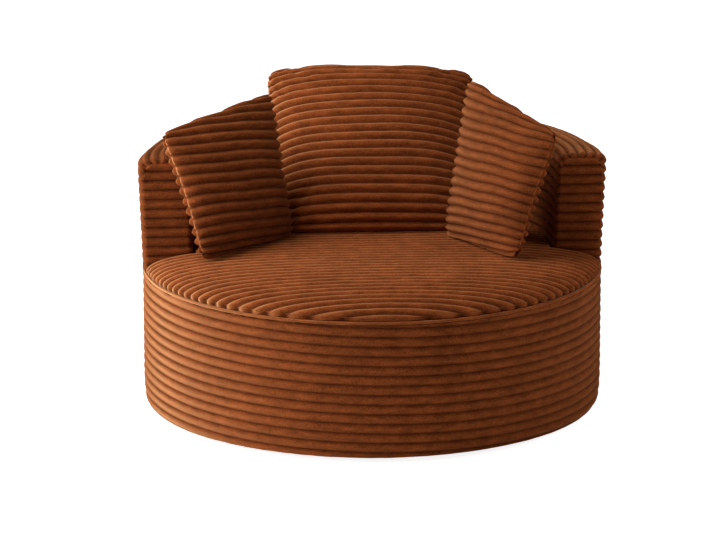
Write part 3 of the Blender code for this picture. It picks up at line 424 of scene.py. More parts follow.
def ring(radius, z):
    """A circle of points round the middle."""
    angles = np.linspace(0, 2 * np.pi, DRUM_STEPS, endpoint=False)
    return np.stack([radius * np.cos(angles), radius * np.sin(angles), z + 0 * angles], 1)


# Settings that a user may change
class ClothSettings(bpy.types.PropertyGroup):
    """The corduroy and its ribs."""

    pitch: FloatProperty(name="Rib pitch", description="Distance from one rib to the next",
                         default=0.0226, min=0.005, unit="LENGTH", precision=4)
    depth: FloatProperty(name="Rib depth", description="Depth of the grooves between the ribs",
                         default=0.0066, min=0.0, unit="LENGTH", precision=4)
    roundness: FloatProperty(name="Rib roundness", description="Higher makes the crest flatter",
                             default=2.0, min=0.5)
    fullness: FloatProperty(name="Rib fullness", description="Lower makes the grooves narrower",
                            default=1.35, min=0.1, max=2.0)
    unevenness: FloatProperty(name="Unevenness", description="How far the pile swells and sinks",
                              default=0.0022, min=0.0, unit="LENGTH", precision=4)
    pile: FloatVectorProperty(name="Pile", description="Colour of the ribs", size=4, min=0, max=1,
                              subtype="COLOR", default=linear("964B23"))
    # Painted shade deep between the ribs
    groove_shade: FloatVectorProperty(name="Groove", description="Colour deep between the ribs", size=4,
                                min=0, max=1, subtype="COLOR", default=linear("451B0B"))
    # This colour is also painted into the pile's colour where the view glances
    sheen: FloatVectorProperty(name="Sheen", description="Colour of the pile's glancing light",
                               size=4, min=0, max=1, subtype="COLOR", default=linear("DE9C68"))


class ShapeSettings(bpy.types.PropertyGroup):
    """The chair's main sizes, with the solid parts' own as defaults."""

    radius: FloatProperty(name="Drum radius", description="Radius over the ribs", unit="LENGTH",
                          default=DRUM_HIGH[0])
    hem: FloatProperty(name="Hem height", description="Height of the drum's lower edge",
                       default=DRUM_LOW[2], unit="LENGTH")
    seam: FloatProperty(name="Seam height", description="Height of the seam round the seat",
                        default=SEAM_Z, unit="LENGTH")
    slant: FloatProperty(name="Rib slant", description="How far the drum's ribs drop to the right",
                         default=math.radians(1.1), subtype="ANGLE")
    crown: FloatProperty(name="Seat crown", description="Height of the seat's dome over the seam",
                         default=SEAT_HIGH[2] - SEAM_Z, unit="LENGTH")
    arm: FloatProperty(name="Arm thickness", description="Thickness of the arms at their ends",
                       default=0.12, unit="LENGTH")
    back: FloatProperty(name="Back thickness", description="Thickness of the back in the middle",
                        default=0.16, unit="LENGTH")
    top: FloatProperty(name="Back height", description="Height of the back's top",
                       default=BACK_HIGH[2], unit="LENGTH")
    reach: FloatProperty(name="Arm reach", description="How far the arms reach past the middle",
                         default=-BACK_LOW[1], unit="LENGTH")
    lean: FloatProperty(name="Lean", description="How far the back's top stands out",
                        default=0.011, unit="LENGTH")
    roll: FloatProperty(name="Roll", description="Radius of the back's rounded top", default=0.05,
                        unit="LENGTH")


class PillowSettings(bpy.types.PropertyGroup):
    """How the loose pillows are filled."""

    pressure: FloatProperty(name="Pressure", description="How hard the filling pushes", default=4.0,
                            min=0.0)
    frames: IntProperty(name="Frames", description="How long the filling swells", default=20, min=2)
    start: FloatProperty(name="Start", description="Share of the full thickness before it swells",
                         default=0.86, min=0.1, max=1.0, subtype="FACTOR")
    swell: FloatProperty(name="Largest swell", description="How far a point may move",
                         default=0.024, unit="LENGTH")
    draw: FloatProperty(name="Edge draw", description="How far the seams are drawn in",
                        default=0.012, unit="LENGTH")


class StageSettings(bpy.types.PropertyGroup):
    """The studio's lights."""

    low: FloatProperty(name="Low key", description="Strength of the low light on the left",
                       default=80.0, min=0.0)
    high: FloatProperty(name="High key", description="Strength of the high light on the left",
                        default=44.0, min=0.0)
    front: FloatProperty(name="Front", description="Strength of the light from the front left",
                         default=18.0, min=0.0)
    fill: FloatProperty(name="Fill", description="Strength of the light on the right", default=22.0,
                        min=0.0)
    sky: FloatProperty(name="Sky", description="Strength of the light from all round", default=0.06,
                       min=0.0)


# Materials
def material(name):
    """A new material with its tree, its shader and its object coordinates."""
    made = bpy.data.materials.new(name)
    made.use_nodes = True
    tree = made.node_tree
    return made, tree, tree.nodes["Principled BSDF"], node(tree, "ShaderNodeTexCoord", out="Object")


def mottle(tree, place, size, span=None, detail=2.0, stretch=(1, 1, 1)):
    """Spots about size metres wide, longer where a stretch is below 1, over a span if given."""
    placed = node(tree, "ShaderNodeMapping", {"Vector": place, "Scale": stretch})
    spots = node(tree, NOISE, {"Vector": placed, "Scale": 1 / size, "Detail": detail})
    if span is None:
        return spots
    low, high = span
    return node(tree, RANGE, {"Value": spots, "From Min": NOISE_LOW, "From Max": NOISE_HIGH,
                              "To Min": low, "To Max": high})


def shaded(tree, colour, shade):
    """A colour made darker or lighter."""
    grey = node(tree, "ShaderNodeCombineColor", shade, shade, shade)
    return node(tree, MIX, {0: 1.0, 6: colour, 7: grey}, out=2, data_type="RGBA",
                blend_type="MULTIPLY")


def seen_rays(tree):
    """1 for what the camera sees directly, in a reflection or through glass, and 0 for light."""
    path = node(tree, "ShaderNodeLightPath", out="Is Camera Ray").node.outputs
    return chained(tree, MATH, path["Is Glossy Ray"], ("ADD", path["Is Transmission Ray"]),
                   ("ADD", path["Is Camera Ray"]))


def corduroy(settings):
    """Plush corduroy: painted groove shade, painted light and sheen, and a brushed, uneven pile."""
    made, tree, shader, place = material("Rust plush corduroy")
    height, nap = [node(tree, "ShaderNodeAttribute", out="Fac", attribute_name=name)
                   for name in ("wale", "nap")]
    # Painted shade in the grooves, fading up each rib to the pile's colour on the crest
    level = node(tree, MATH, height, GROOVE_SHADE_FADE, operation="POWER")
    groove_shaded = node(tree, MIX, {0: level, 6: tuple(settings.groove_shade), 7: tuple(settings.pile)}, out=2,
                data_type="RGBA")
    # Hands and sitting brush the pile into lighter and darker patches, streaks and tufts
    brushed, crushed, tufts = [mottle(tree, place, **look)
                               for look in (BRUSHED_PATCHES, CRUSHED_STREAKS, TUFTS)]
    # Painted light and shade: the tone goes up with each point's painted light
    painted_tone = node(tree, MATH, nap, PAINTED_LIGHT_LIFT, PAINTED_LIGHT_LEVEL, operation="MULTIPLY_ADD")
    shade = chained(tree, MATH, brushed, ("MULTIPLY", crushed), ("MULTIPLY", tufts),
                    ("MULTIPLY", painted_tone))
    # A painted sheen: the colour pales to the sheen's where the view glances, on the crests and
    # more on one flank of a rib, as the pile leans sideways
    normal = node(tree, "ShaderNodeNewGeometry", out="Normal")
    laid = chained(tree, VECTOR_MATH, normal, ("CROSS_PRODUCT", (0, 0, 1)),
                   ("MULTIPLY_ADD", (SHEEN_LEAN,) * 3, normal), ("NORMALIZE",))
    glance = node(tree, "ShaderNodeLayerWeight", {"Blend": 0.5, "Normal": laid}, out="Facing")
    crest = chained(tree, MATH, height, ("POWER", CREST_POWER), ("MULTIPLY", nap))
    painted_sheen = chained(tree, MATH, glance, ("POWER", GLANCE_POWER), ("MULTIPLY", crest),
                     ("MINIMUM", 1.0))
    colour = node(tree, MIX, {0: painted_sheen, 6: shaded(tree, groove_shaded, shade), 7: tuple(settings.sheen)},
                  out=2, data_type="RGBA")
    pile = mottle(tree, place, **FIBRES)
    bump = node(tree, "ShaderNodeBump", {"Height": pile, "Strength": 0.5, "Distance": 0.0008})
    feed(tree, shader, {"Base Color": colour, "Roughness": 0.9, "Specular IOR Level": 0.02,
                        "Sheen Weight": 0.4, "Sheen Roughness": 0.5,
                        "Sheen Tint": tuple(settings.sheen), "Normal": bump})
    return made


def wood(name, light, dark, grain, roughness):
    """Bare wood with its grain drawn out along X."""
    made, tree, shader, place = material(name)
    streaks = mottle(tree, place, grain, span=(0.0, 1.0), detail=4.0, stretch=(0.06, 1, 1))
    colour = node(tree, MIX, {0: streaks, 6: linear(dark), 7: linear(light)}, out=2,
                  data_type="RGBA")
    bump = node(tree, "ShaderNodeBump", {"Height": streaks, "Strength": 0.2, "Distance": 0.0004})
    feed(tree, shader, {"Base Color": colour, "Roughness": roughness, "Normal": bump})
    return made


def fibrous(name, light, dark, size, stretch=(1, 1, 1)):
    """Foam, wadding, felt or spun cloth: matt, with the mottle of its cells or fibres."""
    made, tree, shader, place = material(name)
    cells = mottle(tree, place, size, span=(0.0, 1.0), detail=3.0, stretch=stretch)
    colour = node(tree, MIX, {0: cells, 6: linear(dark), 7: linear(light)}, out=2, data_type="RGBA")
    bump = node(tree, "ShaderNodeBump", {"Height": cells, "Strength": 0.5, "Distance": size / 2})
    feed(tree, shader, {"Base Color": colour, "Roughness": 0.95, "Specular IOR Level": 0.2,
                        "Normal": bump})
    return made


def metal(name, colour, roughness, spread):
    """Bare or plated steel whose gloss varies a little over the surface."""
    made, tree, shader, place = material(name)
    patch = 0.02
    tint = mottle(tree, place, patch, span=(0.86, 1.0), detail=3.0)
    rough = mottle(tree, place, patch, span=(roughness - spread, roughness + spread), detail=3.0)
    feed(tree, shader, {"Base Color": shaded(tree, linear(colour), tint), "Roughness": rough,
                        "Metallic": 1.0})
    return made


def plastic(name, colour, roughness):
    """Moulded plastic with the faint grain of its mould."""
    made, tree, shader, place = material(name)
    # Wider than the real grain, which is too fine to show
    size = 0.0008
    grain, shade = mottle(tree, place, size), mottle(tree, place, size, span=(0.85, 1.1))
    bump = node(tree, "ShaderNodeBump", {"Height": grain, "Strength": 0.2, "Distance": 0.0003})
    feed(tree, shader, {"Base Color": shaded(tree, linear(colour), shade), "Roughness": roughness,
                        "Normal": bump})
    return made


def cloth_of(context):
    """The chair's one corduroy, made when it is first asked for."""
    return bpy.data.materials.get("Rust plush corduroy") or corduroy(context.scene.armchair_cloth)


def black_cloth():
    """Thin spun cloth: near black and dull, with the fine dapple of its bonded fibres."""
    name = "Black spun-bonded dust cloth"
    return bpy.data.materials.get(name) or fibrous(name, "2A2A2C", "151516", size=0.0015)


def ribbed(obj, context, nap, depth=1.0):
    """Presses the ribs into a cover and dresses it in corduroy with painted light, shade and sheen.

    The depth is a share of the cloth's own rib depth: less where it is drawn taut, more where it
    lies loose.
    """
    settings = context.scene.armchair_cloth
    tree = bpy.data.node_groups.get("Corduroy wales") or wales_tree()
    return applied(obj, tree, {
        "Depth": settings.depth * depth, "Roundness": settings.roundness,
        "Fullness": settings.fullness, "Unevenness": settings.unevenness,
        "Nap": nap, "Cloth": cloth_of(context),
    })


# Shapes of the covers before their ribs
def relief(distance):
    """The share of a rib's height that is left at a distance from a seam."""
    return SEAM_RELIEF + (1 - SEAM_RELIEF) * smooth(distance / SEAM_TRIM)


def drum_patch(shape, pitch):
    """The drum's side with its hem turned under, turned round the middle."""
    top, hem = shape.seam - SEAM_CLEAR, shape.hem
    rows = round((top - hem) / pitch * STEPS_PER_RIB)
    z = np.linspace(top, hem + HEM_ROUND, rows)
    radius = shape.radius - HEM_TUCK * np.clip(1 - (z - hem) / HEM_TUCK_HEIGHT, 0, 1) ** 2
    turn = np.linspace(0, np.pi / 2, HEM_STEPS + 1)[1:]
    low, skin = radius[-1], shape.radius - COVER_SKIN
    inner = low - HEM_RETURN - COVER_SKIN
    profile = np.concatenate([
        np.stack([radius, z], 1),
        np.stack([low - HEM_ROUND * (1 - np.cos(turn)), hem + HEM_ROUND * (1 - np.sin(turn))], 1),
        resampled(np.array([[low - HEM_ROUND, hem], [inner, hem]]), RETURN_STEPS)[1:],
        [[inner, hem + HEM_ROUND], [skin, hem + HEM_ROUND], [skin, top], [shape.radius, top]],
    ])
    angles = np.linspace(0, 2 * np.pi, DRUM_STEPS + 1)
    angles[-1] = 0
    r, z = profile[:, :1], profile[:, 1:]
    grid = np.stack([r * np.cos(angles), r * np.sin(angles), z + 0 * angles], -1)
    ribs = (grid[..., 2] - hem + HEM_RIB + math.tan(shape.slant) * grid[..., 0]) / pitch
    trim = relief(top - z) + 0 * angles
    trim[rows + HEM_STEPS:] = 1
    ribs[rows + HEM_STEPS:] = ON_CREST
    return grid, ribs, trim


def inner_circle(shape):
    """The centre and the radius of the back's inner face: the back is thinner at the arms."""
    arm_x, back_y, end_y = shape.radius - shape.arm, shape.radius - shape.back, -shape.reach
    centre = (back_y**2 - arm_x**2 - end_y**2) / 2 / (back_y - end_y)
    return centre, back_y - centre


def crown_height(shape, x, y):
    """The dome's height over the seam."""
    share = np.minimum(np.hypot(x, y) / shape.radius, 1)
    return shape.crown * (1 - share**CROWN_ROUNDNESS) ** CROWN_FULLNESS


def seat_patches(shape, pitch):
    """The domed seat in front of the arms and between them, with its skirt to the seam."""
    centre, inner = inner_circle(shape)
    arm_y = -shape.reach - REST_GAP
    front_radius, back_radius = shape.radius - SEAT_INSET, inner - SEAT_BACK_GAP
    back_y = centre + back_radius
    line = np.linspace(-front_radius, back_y, CURVE_POINTS)
    length = run_length(np.stack([line, crown_height(shape, 0, line)], 1))
    step = pitch / STEPS_PER_RIB
    reach = np.interp(arm_y, line, length)
    floor = shape.seam + SEAM_CLEAR / 2
    patches = []
    spans = ((0, reach, front_radius, 0), (reach, length[-1], back_radius, centre))
    for start, end, radius, middle in spans:
        run = np.linspace(start, end, max(round((end - start) / step), 2))
        y = np.interp(run, length, line)
        half = np.sqrt(np.maximum(radius**2 - (y - middle) ** 2, 0))
        across = np.sin(np.linspace(-np.pi / 2, np.pi / 2, SEAT_STEPS + 1))
        x = half[:, None] * across
        y_grid = y[:, None] + 0 * x
        z = shape.seam + crown_height(shape, x, y_grid)
        ribs = (run / pitch + FRONT_RIB)[:, None] + 0 * x
        top = np.stack([x, y_grid, z], -1)
        patches.append((top, ribs, 1.0))
        for side in (0, -1):
            rim = top[:, side]
            drops = np.linspace(0, 1, SKIRT_STEPS + 1)
            skirt = np.stack([rim + (floor - rim[:, 2:]) * np.array([0, 0, f]) for f in drops], 1)
            patches.append((skirt, ribs[:, :1], relief(skirt[..., 2] - floor)))
    return patches


def station(shape, angle):
    """The inner and the outer point of the back at an angle of 0 to pi round it."""
    centre, inner = inner_circle(shape)
    start = math.asin(-centre / inner)
    turn = start + (math.pi - 2 * start) * angle / math.pi
    near = np.array([inner * math.cos(turn), centre + inner * math.sin(turn)])
    return near, shape.radius * np.array([math.cos(angle), math.sin(angle)])


def level_station(shape, side, y):
    """The inner and the outer point of an arm at one distance from the middle line."""
    centre, inner = inner_circle(shape)
    near = np.array([side * math.sqrt(inner**2 - (y - centre) ** 2), y])
    return near, np.array([side * math.sqrt(shape.radius**2 - y**2), y])


def back_stations(shape):
    """Stations from the right arm's end round to the left's, with their distance from an end."""
    turns = [math.pi / 2 * k / CORNER_STEPS for k in range(CORNER_STEPS + 1)]
    corner = [END_CORNER * (1 - math.cos(turn)) for turn in turns]
    levels = corner + list(np.linspace(END_CORNER, shape.reach, ARM_STEPS + 1)[1:-1])
    right = [(*level_station(shape, 1, e - shape.reach), e) for e in levels]
    left = [(*level_station(shape, -1, e - shape.reach), e) for e in reversed(levels)]
    angles = np.linspace(0, math.pi, BACK_STEPS + 1)
    turn = [(*station(shape, a), shape.reach + shape.radius * min(a, math.pi - a)) for a in angles]
    return right + turn + left


def back_section(shape, thickness, away, rows):
    """The section of the back: distance from the inner face and height, up, over and down."""
    round_off = max(END_CORNER - away, 0)
    inset = END_CORNER - math.sqrt(END_CORNER**2 - round_off**2)
    roll = END_ROLL + (shape.roll - END_ROLL) * float(smooth(away / END_ROLL_REACH))
    foot, top = shape.seam + SEAM_CLEAR, shape.top - inset
    shoulder = top - roll - TOP_ARCH
    turns = np.linspace(0, np.pi / 2, ROLL_STEPS)
    near = np.stack([inset + roll * (1 - np.cos(turns)), shoulder + roll * np.sin(turns)], 1)
    middle = thickness / 2
    over = np.linspace(inset + roll, middle, ARCH_STEPS + 1)[1:]
    share = (over - middle) / (middle - inset - roll)
    arch = np.stack([over, top - TOP_ARCH * share**2], 1)
    half = np.concatenate([[[inset, ROLL_START_Z]], near, arch])
    far = half[-2::-1] * [-1, 1] + [thickness, 0]
    arc = resampled(np.concatenate([half, far]), ROLL_RIBS * STEPS_PER_RIB)
    wall_z = np.linspace(foot, ROLL_START_Z, rows + 1)[:-1]
    wall = np.stack([np.full(rows, inset), wall_z], 1)
    section = np.concatenate([wall, arc, (wall * [-1, 1] + [thickness, 0])[::-1]])
    lean = shape.lean * (section[:, 1] - shape.seam) / (shape.top - shape.seam)
    section[:, 0] += lean
    return section


def back_patches(shape, pitch):
    """The back from arm to arm, its two flat arm ends and the strip that closes it below."""
    foot = shape.seam + SEAM_CLEAR
    rows = round((ROLL_START_Z - foot) / pitch * STEPS_PER_RIB)
    columns, ribs, trims = [], None, []
    for near, far, away in back_stations(shape):
        across = far - near
        thickness = float(np.linalg.norm(across))
        across = across / thickness
        section = back_section(shape, thickness, away, rows)
        columns.append(np.c_[near + section[:, :1] * across, section[:, 1]])
        if ribs is None:
            wall = (section[:rows, 1] - ROLL_START_Z) / pitch
            over_top = np.arange(ROLL_RIBS * STEPS_PER_RIB + 1) / STEPS_PER_RIB
            ribs = np.concatenate([wall, over_top, wall[::-1]])
            over = smooth((section[:, 1] - TOP_SEAM_Z) / TOP_SEAM_BLEND)
        trims.append(1 - (1 - SEAM_RELIEF) * over * (1 - smooth(away / SEAM_TRIM)))
    body = np.stack(columns, 1)
    trim = np.stack(trims, 1)
    # Painted light towards the right and painted shade towards the left, and painted shade on the
    # inner wall
    inner = 1 - smooth((np.linspace(0, 1, len(body))[:, None] - INNER_WALL) / (0.5 - INNER_WALL))
    lay = BACK_PAINTED_LIGHT * body[..., 0] / shape.radius * (1 - inner) - INNER_WALL_SHADE * inner
    patches = [(body, ribs[:, None], trim, lay)]
    middle = len(body) // 2
    for column in (0, -1):
        edge = body[:, column]
        near, far = edge[: middle + 1], edge[::-1][: middle + 1]
        shares = (1 - np.cos(np.linspace(0, np.pi, PANEL_STEPS + 1))) / 2
        panel = near[:, None] + (far - near)[:, None] * shares[None, :, None]
        height = panel[..., 2]
        gap = np.minimum(shares, 1 - shares)[None] * np.linalg.norm(far - near, axis=1)[:, None]
        below = shape.top - END_CORNER - height
        trim = relief(np.minimum(gap + np.where(height < PANEL_SEAM_Z, SEAM_TRIM, 0), below))
        # The arm ends take the same painted light and shade across
        lay = BACK_PAINTED_LIGHT * panel[..., 0] / shape.radius
        patches.append((panel, (height - ROLL_START_Z) / pitch, trim, lay))
    under = np.stack([body[0], body[-1]], 0)
    # The strip below takes the grooves' painted shade
    patches.append((under, IN_GROOVE, 1.0))
    return patches


def surface_tree(obj):
    """A search tree over a finished shape."""
    mesh = obj.data
    points, faces = [v.co for v in mesh.vertices], [p.vertices[:] for p in mesh.polygons]
    return BVHTree.FromPolygons(points, faces)


# The pillows: width, heights at left and right, thickness, share of the back's bulge, place of the
# bottom seam's middle, lean, turn, ribs, how many of them run out at the left and right of the top
# seam, how far that seam bows up, its painted light, its painted shade towards the right and the
# bottom, and how far each corner is pulled from flat
PILLOWS = {
    "pillow_center": dict(
        width=0.50, heights=(0.50, 0.50), thickness=0.15, back=1.0, place=(0, 0.0595, 0.396),
        lean=51, turn=0, ribs=22, fan=(0, 0), bow=0.020, nap=1.0, painted_shade=(-1.5, 0),
        corners=((0.008, 0, 0), (0.008, 0, 0), (0.012, 0, -0.007), (0.034, 0, -0.018))),
    "pillow_left": dict(
        width=0.333, heights=(0.291, 0.327), thickness=0.13, back=0.7,
        place=(-0.2782, -0.0592, 0.3934), lean=26, turn=42, ribs=14, fan=(0.2, 4.0), bow=-0.004,
        nap=0.2, painted_shade=(-0.4, -1.1),
        corners=((-0.006, 0, -0.006), (-0.024, 0, -0.006), (-0.016, 0, 0.022),
                 (0.022, -0.01, 0.038))),
    "pillow_right": dict(
        width=0.333, heights=(0.352, 0.292), thickness=0.13, back=0.7,
        place=(0.239, -0.0793, 0.3934), lean=22, turn=-57, ribs=16, fan=(3.0, 0), bow=-0.006,
        nap=0.25, painted_shade=(0, 0),
        corners=((0.026, -0.02, -0.008), (0, 0.01, -0.004), (-0.021, -0.01, 0.040),
                 (0.006, 0, 0.018))),
}

# How finely a pillow is cut for its simulation and for its ribs
PILLOW_CELLS = 28
PILLOW_COLUMNS = 84

# How far the ribs flatten at the side seams, and the painted highlight along them and its reach
PILLOW_TRIM = 0.009
PILLOW_SEAM_HIGHLIGHT = 0.9
PILLOW_SEAM_HIGHLIGHT_REACH = 0.03

# The lumps of the top seam, the waver of the ribs, and the share of their fan at the bottom
LUMP = 0.0014
LUMP_WAVES = 17
LUMP_SHIFT = 30
LUMP_EDGE = 8
RIB_WAVER = 0.06
WAVER_WAVES = (11, 7)
FAN_START = 0.25

# The pillow's outline before it swells, and its rounded corners
BOW_FLATNESS = 4
PILLOW_FULLNESS = 0.75
CORNER_INSET = 0.028
CORNER_SHARPNESS = 9

# How far it sinks in, its gap to what it rests on, and how it is eased off that
SETTLE = 0.004
CONTACT = 0.0008
EASE_ROUNDS = 3
EASE_REACH = 0.05

# Digits to which two points are taken as the same
DIGITS = 5


def pillow_grids(look, draw, share):
    """The front and the back panel of a pillow as grids, in its own frame."""
    theta = np.linspace(0, np.pi, PILLOW_CELLS + 1)
    u = ((1 - np.cos(theta)) / 2)[None, :]
    v = ((1 - np.cos(theta)) / 2)[:, None]
    height = look["heights"][0] + (look["heights"][1] - look["heights"][0]) * u
    side, end = draw * np.sin(np.pi * v), look["bow"] * (1 - np.abs(2 * u - 1) ** BOW_FLATNESS)
    corner = CORNER_INSET * np.abs((2 * u - 1) * (2 * v - 1)) ** CORNER_SHARPNESS
    x = (u - 0.5) * (look["width"] - 2 * side) * (1 - corner / look["width"])
    z = v * height + end * v**2
    z = height / 2 + (z - height / 2) * (1 - corner / height)
    z = z + LUMP * np.sin(LUMP_WAVES * u + LUMP_SHIFT * height[:, :1]) * v**LUMP_EDGE
    crest = np.sin(theta)[None, :] * np.sin(theta)[:, None]
    bulge = share * look["thickness"] / 2 * crest**PILLOW_FULLNESS
    return [np.stack([x, way * bulge * part, z], -1) for way, part in ((-1, 1), (1, look["back"]))]


def inflated(grids, settings):
    """The two panels swollen by the pressure of the filling, as a short cloth simulation."""
    blank = grid_mesh("inflating", [(grid, 0.0, 1.0) for grid in grids])
    before = np.array([tuple(v.co) for v in blank.data.vertices])
    seam = blank.vertex_groups.new(name="seam")
    seam.add([int(i) for i in np.flatnonzero(np.abs(before[:, 1]) < WELD)], 1.0, "REPLACE")
    cloth = blank.modifiers.new("Inflate", "CLOTH")
    cloth.settings.vertex_group_mass = seam.name
    weave = {"quality": 6, "mass": 0.25, "tension_stiffness": 18, "compression_stiffness": 18,
             "shear_stiffness": 6, "bending_stiffness": 0.8}
    for key, value in weave.items():
        setattr(cloth.settings, key, value)
    cloth.settings.use_pressure = True
    cloth.settings.uniform_pressure_force = settings.pressure
    cloth.settings.effector_weights.gravity = 0
    cloth.collision_settings.use_collision = False
    cloth.point_cache.frame_start = 1
    cloth.point_cache.frame_end = settings.frames
    scene = bpy.context.scene
    for number in range(1, settings.frames + 1):
        scene.frame_set(number)
    shaped = blank.evaluated_get(bpy.context.evaluated_depsgraph_get())
    after = np.array([tuple(v.co) for v in shaped.data.vertices])
    step = after - before
    size = np.linalg.norm(step, axis=1, keepdims=True)
    step *= np.minimum(1, settings.swell / np.maximum(size, 1e-9))
    lookup = {tuple(np.round(p, DIGITS)): s for p, s in zip(before, step)}
    blank.modifiers.remove(cloth)
    scene.frame_set(1)
    remove(blank)
    moved = []
    for grid in grids:
        steps = [lookup.get(tuple(np.round(p, DIGITS)), np.zeros(3)) for p in grid.reshape(-1, 3)]
        moved.append(grid + np.array(steps).reshape(grid.shape))
    return moved


def eased(grids, trees):
    """Presses the panels flat where they would reach into what they lie on."""
    for _ in range(EASE_ROUNDS):
        pushes = []
        for grid in grids:
            push = np.zeros_like(grid)
            for index in np.ndindex(grid.shape[:2]):
                point = Vector(grid[index])
                for tree in trees:
                    spot, normal, _, _ = tree.find_nearest(point, EASE_REACH)
                    if spot is None:
                        continue
                    depth = CONTACT - (point - spot).dot(normal)
                    if depth > 0:
                        point = point + normal * depth
                push[index] = np.array(point) - grid[index]
            pushes.append(push)
        for k, push in enumerate(pushes):
            soft = push.copy()
            soft[1:-1, 1:-1] = (2 * push[1:-1, 1:-1] + push[:-2, 1:-1] + push[2:, 1:-1]
                                + push[1:-1, :-2] + push[1:-1, 2:]) / 6
            pushed = np.linalg.norm(push, axis=-1, keepdims=True) > 0
            grids[k] = grids[k] + np.where(pushed, push, soft)
    seam = np.zeros(grids[0].shape[:2], bool)
    seam[[0, -1]] = seam[:, [0, -1]] = True
    middle = (grids[0] + grids[1]) / 2
    return [np.where(seam[..., None], middle, grid) for grid in grids]


def posed(grids, look):
    """The panels leaned back, turned and put in their place, with their corners pulled."""
    turn = np.array(Euler((-math.radians(look["lean"]), 0, math.radians(look["turn"]))).to_matrix())
    theta = (1 - np.cos(np.linspace(0, np.pi, PILLOW_CELLS + 1))) / 2
    u, v = theta[None, :, None], theta[:, None, None]
    low_left, low_right, top_left, top_right = [np.array(c) for c in look["corners"]]
    pull = (low_left * (1 - u) + low_right * u) * (1 - v) + (top_left * (1 - u) + top_right * u) * v
    return [grid @ turn.T + np.array(look["place"]) + pull for grid in grids]


def pillow_patches(grids, look):
    """The panels cut finely enough for their ribs, which run to both side seams."""
    patches = []
    middle = PILLOW_CELLS // 2
    lengths = [run_length(grid[:, middle]) for grid in grids]
    columns = np.linspace(0, PILLOW_CELLS, PILLOW_COLUMNS + 1)
    across = (1 - np.cos(np.pi * columns / PILLOW_CELLS)) / 2
    for grid, run in zip(grids, lengths):
        share = np.linspace(0, 1, look["ribs"] * STEPS_PER_RIB + 1)
        rows = np.interp(share * run[-1], run, np.arange(PILLOW_CELLS + 1))
        fine = cubic(cubic(grid, rows).swapaxes(0, 1), columns).swapaxes(0, 1)
        share = share[:, None]
        fan = look["fan"][0] * (1 - across) + look["fan"][1] * across
        waves = WAVER_WAVES[0] * across + WAVER_WAVES[1] * share
        waver = RIB_WAVER * np.sin(waves) * np.sin(np.pi * share)
        ribs = share * look["ribs"] + fan * (FAN_START + (1 - FAN_START) * share) + waver
        steps = np.linalg.norm(np.diff(fine, axis=1), axis=-1)
        left = np.concatenate([np.zeros((len(fine), 1)), np.cumsum(steps, axis=1)], 1)
        edge = np.minimum(left, left[:, -1:] - left)
        # Painted highlight along the side seams, and painted shade towards the right and the bottom
        lay = PILLOW_SEAM_HIGHLIGHT * (1 - smooth(edge / PILLOW_SEAM_HIGHLIGHT_REACH))
        lay = lay + look["painted_shade"][0] * across**3 + look["painted_shade"][1] * (1 - share) ** 2
        patches.append((fine, ribs, smooth(edge / PILLOW_TRIM), lay))
    return patches


# Operators
class ARMCHAIR_OT_drum(bpy.types.Operator):
    """Dress the drum's side in corduroy whose ribs run round it"""

    bl_idname = "armchair.drum"
    bl_label = "Drum side"

    def execute(self, context):
        shape, cloth = context.scene.armchair_shape, context.scene.armchair_cloth
        side = grid_mesh("drum_side", [drum_patch(shape, cloth.pitch)])
        # The drum's painted light: a middle tone and a moderate painted sheen
        side = ribbed(side, context, nap=0.62, depth=0.75)
        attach(side, "chair")
        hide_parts("drum_side_cover")
        return {"FINISHED"}


class ARMCHAIR_OT_welt(bpy.types.Operator):
    """Sew a welt into the seam between the drum and the seat"""

    bl_idname = "armchair.welt"
    bl_label = "Welt"

    def execute(self, context):
        shape = context.scene.armchair_shape
        line = line_object("seam_welt", ring(shape.radius - WELT_INSET, shape.seam), closed=True)
        tree = bpy.data.node_groups.get("Welt") or welt_tree()
        welt = applied(line, tree, {"Radius": WELT_RADIUS, "Cloth": cloth_of(context)})
        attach(welt, "chair")
        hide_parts("seam_piping")
        return {"FINISHED"}


class ARMCHAIR_OT_seat(bpy.types.Operator):
    """Dress the domed seat in corduroy whose ribs run across the chair"""

    bl_idname = "armchair.seat"
    bl_label = "Seat"

    def execute(self, context):
        shape, cloth = context.scene.armchair_shape, context.scene.armchair_cloth
        seat = grid_mesh("seat_top", seat_patches(shape, cloth.pitch))
        # The seat's painted light is high: a lighter tone and more painted sheen
        seat = ribbed(seat, context, nap=1.0, depth=1.1)
        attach(seat, "chair")
        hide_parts("seat_cover", "seat_topper")
        return {"FINISHED"}


class ARMCHAIR_OT_back(bpy.types.Operator):
    """Dress the back and arms in corduroy whose ribs follow their curve"""

    bl_idname = "armchair.back"
    bl_label = "Back and arms"

    def execute(self, context):
        shape, cloth = context.scene.armchair_shape, context.scene.armchair_cloth
        back = grid_mesh("back_wrap", back_patches(shape, cloth.pitch))
        # The back's painted light is low: a darker tone and little painted sheen
        back = ribbed(back, context, nap=0.3)
        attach(back, "chair")
        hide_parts("back_cover")
        return {"FINISHED"}


class ARMCHAIR_OT_pillows(bpy.types.Operator):
    """Fill the three loose pillows and lay them against the back"""

    bl_idname = "armchair.pillows"
    bl_label = "Pillows"

    def execute(self, context):
        shape, cloth = context.scene.armchair_shape, context.scene.armchair_cloth
        settings = context.scene.armchair_pillows
        trees = []
        for patches in (seat_patches(shape, cloth.pitch), back_patches(shape, cloth.pitch)):
            solid = grid_mesh("obstacle", patches)
            trees.append(surface_tree(solid))
            remove(solid)
        for name, look in PILLOWS.items():
            grids = inflated(pillow_grids(look, settings.draw, settings.start), settings)
            grids = [grid - [0, 0, SETTLE] for grid in posed(grids, look)]
            grids = eased(grids, trees)
            pillow = grid_mesh(name, pillow_patches(grids, look))
            trees.append(surface_tree(pillow))
            # Each pillow gets its own painted light, from its table entry
            pillow = ribbed(pillow, context, nap=look["nap"], depth=1.3)
            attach(pillow, name)
            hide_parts(f"{name}_cover", f"{name}_insert")
        return {"FINISHED"}


